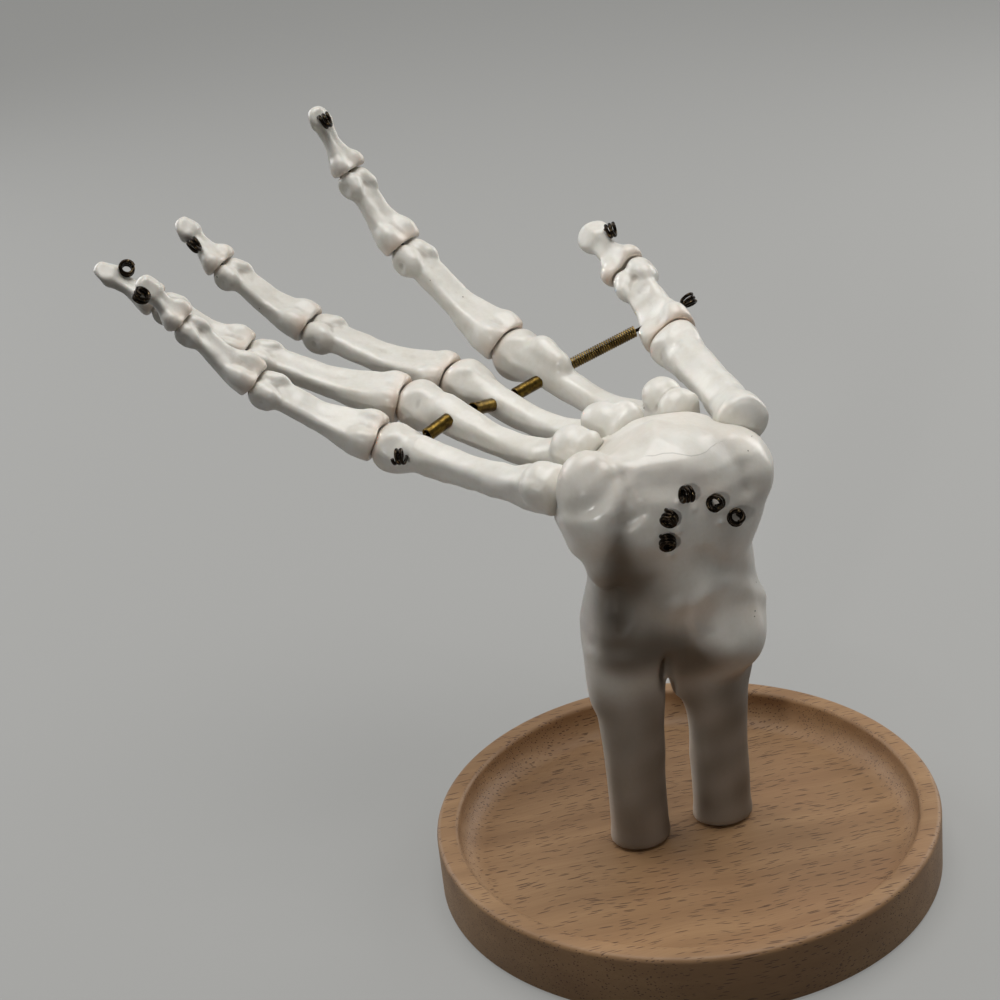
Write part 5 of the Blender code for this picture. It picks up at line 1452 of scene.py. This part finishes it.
@dataclass
class KnuckleWire:
    """The wire across the knuckles, its spacer tubes and the closed spring to the thumb."""

    bones: dict
    wire: float = 0.43
    tube_radius: float = 1.7
    tube_wall: float = 0.4
    tube_ribs: float = 0.55
    end_gap: float = 0.85
    thumb_gap: float = 1.2
    seat: float = 0.8
    spring_radius: float = 1.25
    spring_wire: float = 0.27
    spring_pitch: float = 0.62
    eye: Eye = field(default_factory=Eye)
    eye_heading: tuple = (-0.45, 0.9, 0.18)
    eye_axis: tuple = (0.88, 0.37, 0.05)
    thumb_eye_axis: tuple = (1.0, 0.0, 0.6)
    tuck: float = 0.3

    def places(self) -> list[Vector]:
        """Where the wire passes the middle of each bone, from the little finger to the thumb."""
        made = []
        for ray in reversed(FINGERS):
            made.append(ray.frames()[0] @ Vector((ray.shafts[0].length - ray.cross[0], 0, ray.cross[1])))
        made.append(THUMB.frames()[1] @ Vector((-THUMB.cross[0], 0, THUMB.cross[1])))
        return made

    def reach(self, name: str, point: Vector, heading: Vector) -> float:
        """Distance from a point inside a bone to its surface."""
        furthest, step = 14.0, 0.05
        bone = self.bones[name]
        steps = np.arange(0.0, furthest, step)
        line = np.array(point) + steps[:, None] * np.array(heading)
        outside = bone.full_field(placed(line, bone.place.inverted())[:, None, :])[:, 0] > 0.0
        return float(steps[np.argmax(outside)])

    def tube(self, name: str, start: Vector, end: Vector) -> None:
        """A thin brass tube with softened rims."""
        sides, depth, bevel = 40, 0.05, 0.12
        length, outer, inner = (end - start).length, self.tube_radius, self.tube_radius - self.tube_wall
        count = 2 * round(length / self.tube_ribs)
        ribs = [(outer - depth * (k % 2), 0.15 + (length - 0.3) * k / count) for k in range(count + 1)]
        profile = [(inner, 0.1), (inner + 0.1, 0.0), (outer - bevel, 0.0), *ribs, (outer - bevel, length),
                   (inner + 0.1, length), (inner, length - 0.1)]
        piece = turned_piece(name + "_brass", profile, sides, along_line(start, end), BRASS)
        piece.data.set_sharp_from_angle(angle=math.radians(50))
        finish_piece(piece, "stand", BRASS, name)

    def spring(self, name: str, start: Vector, end: Vector) -> None:
        """The closed coil, each turn against the next."""
        length = (end - start).length
        piece = grown(Tree.COIL, name + "_coil", polyline([(0.0, 0.0, 0.0)]), {
            "Coil Radius": self.spring_radius * MM, "Wire Radius": self.spring_wire * MM,
            "Turns": float(round(length / self.spring_pitch)), "Length": length * MM, "Points": 18}, SPRING_BRASS)
        move(piece, along_line(start, end))
        finish_piece(piece, "stand", SPRING_BRASS, name)

    def build(self) -> None:
        """Make the wire, its eyes, the tubes and the spring."""
        places = self.places()
        carriers = [f"{ray.name}_metacarpal" for ray in reversed(FINGERS)] + ["thumb_proximal"]
        for k, name in enumerate(("little_ring_tube", "ring_middle_tube", "middle_index_tube", "thumb_spring")):
            heading = (places[k + 1] - places[k]).normalized()
            leave = self.reach(carriers[k], places[k], heading)
            arrive = self.reach(carriers[k + 1], places[k + 1], -heading)
            make, sunk = (self.tube, self.seat) if name.endswith("tube") else (self.spring, -self.thumb_gap)
            make(name, places[k] + heading * (leave + self.end_gap), places[k + 1] - heading * (arrive - sunk))
        turn = FINGERS[-1].frames()[0].to_3x3()
        first, axis = (turn @ Vector(self.eye_heading)).normalized(), turn @ Vector(self.eye_axis)
        leave = self.reach(carriers[0], places[0], first)
        last = (places[4] - places[3]).normalized()
        eye = self.eye.points(places[0] + first * leave, first, axis, 1)
        route = [*reversed(eye), *places[:4], places[4] - last * self.tuck]
        wire_piece("knuckle_strand", route, self.wire, "stand", "knuckle_wire")
        leave = self.reach(carriers[4], places[4], last)
        axis = THUMB.frames()[1].to_3x3() @ Vector(self.thumb_eye_axis)
        eye = self.eye.points(places[4] + last * leave, last, axis, 1)
        wire_piece("thumb_strand_end", [places[4], *eye], self.wire, "thumb_proximal", "thumb_wire_end")


# Tray and screws

@dataclass
class Tray:
    """Turned beech tray with a rounded rim, a coved recess and two countersunk screw holes."""

    radius: float = 60.0
    height: float = 15.0
    recess: float = 8.0
    rim: float = 5.2
    cove: float = 6.0
    rim_round: float = 1.2
    chamfer: float = 0.8
    middle: float = 0.001
    sides: int = 192
    hole_spread: float = 10.9

    def arc(self, centre: tuple, radius: float, start: float, end: float, steps: int) -> list[tuple]:
        """Points of a profile's arc between two angles in degrees."""
        turns = [math.radians(start + (end - start) * i / steps) for i in range(steps + 1)]
        return [(centre[0] + radius * math.cos(turn), centre[1] + radius * math.sin(turn)) for turn in turns]

    def profile(self) -> list[tuple]:
        """The tray's profile from the middle of its underside round to the middle of its floor."""
        floor, inner, edge = self.height - self.recess, self.radius - self.rim, self.rim_round
        points = [(self.middle, 0.0), (self.radius - self.chamfer, 0.0), (self.radius, self.chamfer)]
        points += self.arc((self.radius - edge, self.height - edge), edge, 0, 90, 6)
        points += self.arc((inner + edge, self.height - edge), edge, 90, 180, 6)
        points += self.arc((inner - self.cove, floor + self.cove), self.cove, 0, -90, 12)
        return points + [(self.middle, floor)]

    def build(self) -> None:
        """Turn the tray, drill its countersunk screw holes and dress it."""
        piece = turned_piece("tray_beech", self.profile(), self.sides, Matrix.Identity(4), BEECH)
        hole = [(self.middle, -1.0), (3.3, -1.0), (3.3, 0.6), (1.8, 2.4), (1.8, 8.0), (self.middle, 8.0)]
        cutters = []
        for side in (-1, 1):
            place = Matrix.Translation(block_point(side * self.hole_spread, STUB_DEPTH, 0.0))
            cutters.append(turned_piece(f"hole_{side}", hole, 32, place, BEECH))
            step = piece.modifiers.new("drill", "BOOLEAN")
            step.operation, step.solver, step.object = "DIFFERENCE", "EXACT", cutters[-1]
        mesh = solid_mesh(piece)
        piece.modifiers.clear()
        piece.data = mesh
        for cutter in cutters:
            bpy.data.objects.remove(cutter)
        piece.data.shade_smooth()
        piece.data.set_sharp_from_angle(angle=math.radians(35))
        finish_piece(piece, "stand", BEECH, "tray")


@dataclass
class Screws:
    """The two screws keep their CAD shape and take a zinc finish."""

    names: tuple = ("ulna_screw", "radius_screw")

    def dress(self) -> None:
        """Give both screws their finish."""
        for name in self.names:
            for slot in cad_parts[name].material_slots:
                slot.material = STEEL.material()
            log.info("%s dressed", name)


# Studio

@dataclass
class Studio:
    """Plain floor, soft lamps, an even sky and the camera at the photograph's viewing angle."""

    floor_colour: tuple = (0.06, 0.058, 0.055, 1.0)
    floor_seen: tuple = (0.15, 0.15, 0.148, 1.0)
    floor_glow: tuple = (0.215, 0.214, 0.205, 1.0)
    sky: tuple = (0.72, 0.73, 0.74, 1.0)
    sky_dark: float = 0.045
    sky_bright: float = 0.42
    sky_heading: tuple = (-0.50, 0.66, 0.56)
    lens: float = 68.4
    sensor: float = 36.0
    nearest: float = 0.01
    floor_reach: float = 4.0
    eye: tuple = (0.20615, -0.32991, 0.26706)
    right: tuple = (0.81696, 0.56771, -0.10144)
    down: tuple = (0.15171, -0.38126, -0.91193)
    ahead: tuple = (-0.55638, 0.72962, -0.39760)
    lamps: tuple = (
        ("overhead", (-0.04, 0.08, 1.20), (0.0, 0.0, 0.08), 1.0, 9.4, (1.0, 0.985, 0.96), 180.0),
        ("left_wall", (-0.98, 0.05, 0.45), (0.0, 0.0, 0.08), 0.7, 3.4, (0.98, 0.99, 1.0), 180.0),
        ("right_wall", (0.25, 0.90, 0.42), (0.0, 0.0, 0.08), 0.7, 3.4, (1.0, 0.985, 0.96), 180.0),
        ("upper_front", (0.221, -0.796, 0.335), (0.0085, -0.0056, 0.118), 0.22, 0.0215, (1.0, 0.985, 0.96), 6.5))

    def camera(self) -> None:
        """Place the camera."""
        data = bpy.data.cameras.new("camera")
        data.lens, data.sensor_width, data.clip_start = self.lens, self.sensor, self.nearest
        camera = linked("camera", data)
        matrix = Matrix((self.right, -Vector(self.down), -Vector(self.ahead))).transposed().to_4x4()
        matrix.translation = self.eye
        camera.matrix_world = matrix
        bpy.context.scene.camera = camera

    def floor(self) -> None:
        """A wide plain floor."""
        mesh = bpy.data.meshes.new("floor")
        far = self.floor_reach
        mesh.from_pydata([(-far, -far, 0), (far, -far, 0), (far, far, 0), (-far, far, 0)], [], [(0, 1, 2, 3)])
        material = bpy.data.materials.new("floor_grey")
        material.use_nodes = True
        n = Nodes(material.node_tree)
        surface = material.node_tree.nodes["Principled BSDF"]
        n.feed(surface, {"Base Color": self.floor_seen, "Roughness": 0.85})
        glow = n.add("ShaderNodeEmission", {"Color": self.floor_glow, "Strength": 1.0})
        seen = n.add("ShaderNodeAddShader", {0: surface.outputs[0], 1: glow.outputs[0]})
        plain = n.add("ShaderNodeBsdfDiffuse", {"Color": self.floor_colour})
        mixed = n.add("ShaderNodeMixShader", {0: self.seen_share(n), 1: plain.outputs[0], 2: seen.outputs[0]})
        n.feed(n.tree.nodes["Material Output"], {"Surface": mixed.outputs[0]})
        mesh.materials.append(material)
        floor = linked("floor", mesh)

    def light(self) -> None:
        """Soft lamps and an even sky."""
        for name, place, aim, size, power, colour, spread in self.lamps:
            data = bpy.data.lights.new(name, "AREA")
            data.shape, data.size, data.energy, data.color = "DISK", size, power, colour
            data.spread = math.radians(spread)
            lamp = linked(name, data)
            lamp.location = place
            lamp.rotation_euler = (Vector(aim) - Vector(place)).to_track_quat("-Z", "Y").to_euler()
        world = bpy.data.worlds.new("sky")
        world.use_nodes = True
        n = Nodes(world.node_tree)
        background = world.node_tree.nodes["Background"]
        heading = n.add("ShaderNodeTexCoord").outputs["Generated"]
        behind = n.add("ShaderNodeVectorMath", {0: heading, 1: self.sky_heading}, operation="DOT_PRODUCT")
        level = n.stretch(behind.outputs["Value"], -0.5, 0.9, self.sky_dark, self.sky_bright)
        n.feed(background, {"Color": self.sky, "Strength": level})
        bpy.context.scene.world = world

    def seen_share(self, n: Nodes) -> bpy.types.NodeSocket:
        """1 for rays from the camera and for mirror and clear rays, else 0."""
        path = n.add("ShaderNodeLightPath")
        mirror = n.math("MAXIMUM", path.outputs["Is Glossy Ray"], path.outputs["Is Transmission Ray"])
        return n.math("MAXIMUM", path.outputs["Is Camera Ray"], mirror)

    def build(self) -> None:
        """Set up the whole studio."""
        bpy.context.scene.view_settings.view_transform = "Standard"
        self.camera()
        self.floor()
        self.light()


@dataclass
class Hand:
    """All five rays: bones with their wires."""

    step: float = 0.4
    tip_step: float = 0.3
    bones: dict = field(default_factory=dict)

    def build(self) -> None:
        """Make every bone and the wires through them."""
        for number, ray in enumerate(RAYS):
            bones = []
            for k, (name, place) in enumerate(zip(ray.bone_names(), ray.frames())):
                common = {"name": name, "place": place, "shaft": ray.shafts[k], "ray": ray,
                          "seed": 11 * number + 3 * k + 1}
                if k == 0:
                    bone = Metacarpal(body="stand", head=ray.heads[0], lean=ray.leans[0], base=ray.base,
                                      step=self.step, **common)
                elif k < len(ray.shafts) - 1:
                    bone = Phalanx(body=name, head=ray.heads[k], lean=ray.leans[k], base_head=ray.heads[k - 1],
                                   step=self.step, **common)
                else:
                    bone = Fingertip(body=name, base_head=ray.heads[k - 1], step=self.tip_step, **common)
                bone.build()
                bones.append(bone)
                self.bones[name] = bone
            FingerWires(ray, bones).build()


def main() -> None:
    """Build the dressed model piece by piece."""
    logging.basicConfig(level=logging.INFO, format="%(name)s: %(message)s")
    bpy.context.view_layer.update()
    Studio().build()
    Tray().build()
    Screws().dress()
    hand = Hand()
    hand.build()
    WristBlock().build([hand.bones[f"{ray.name}_metacarpal"] for ray in RAYS])
    KnuckleWire(hand.bones).build()


if __name__ == "__main__":
    main()
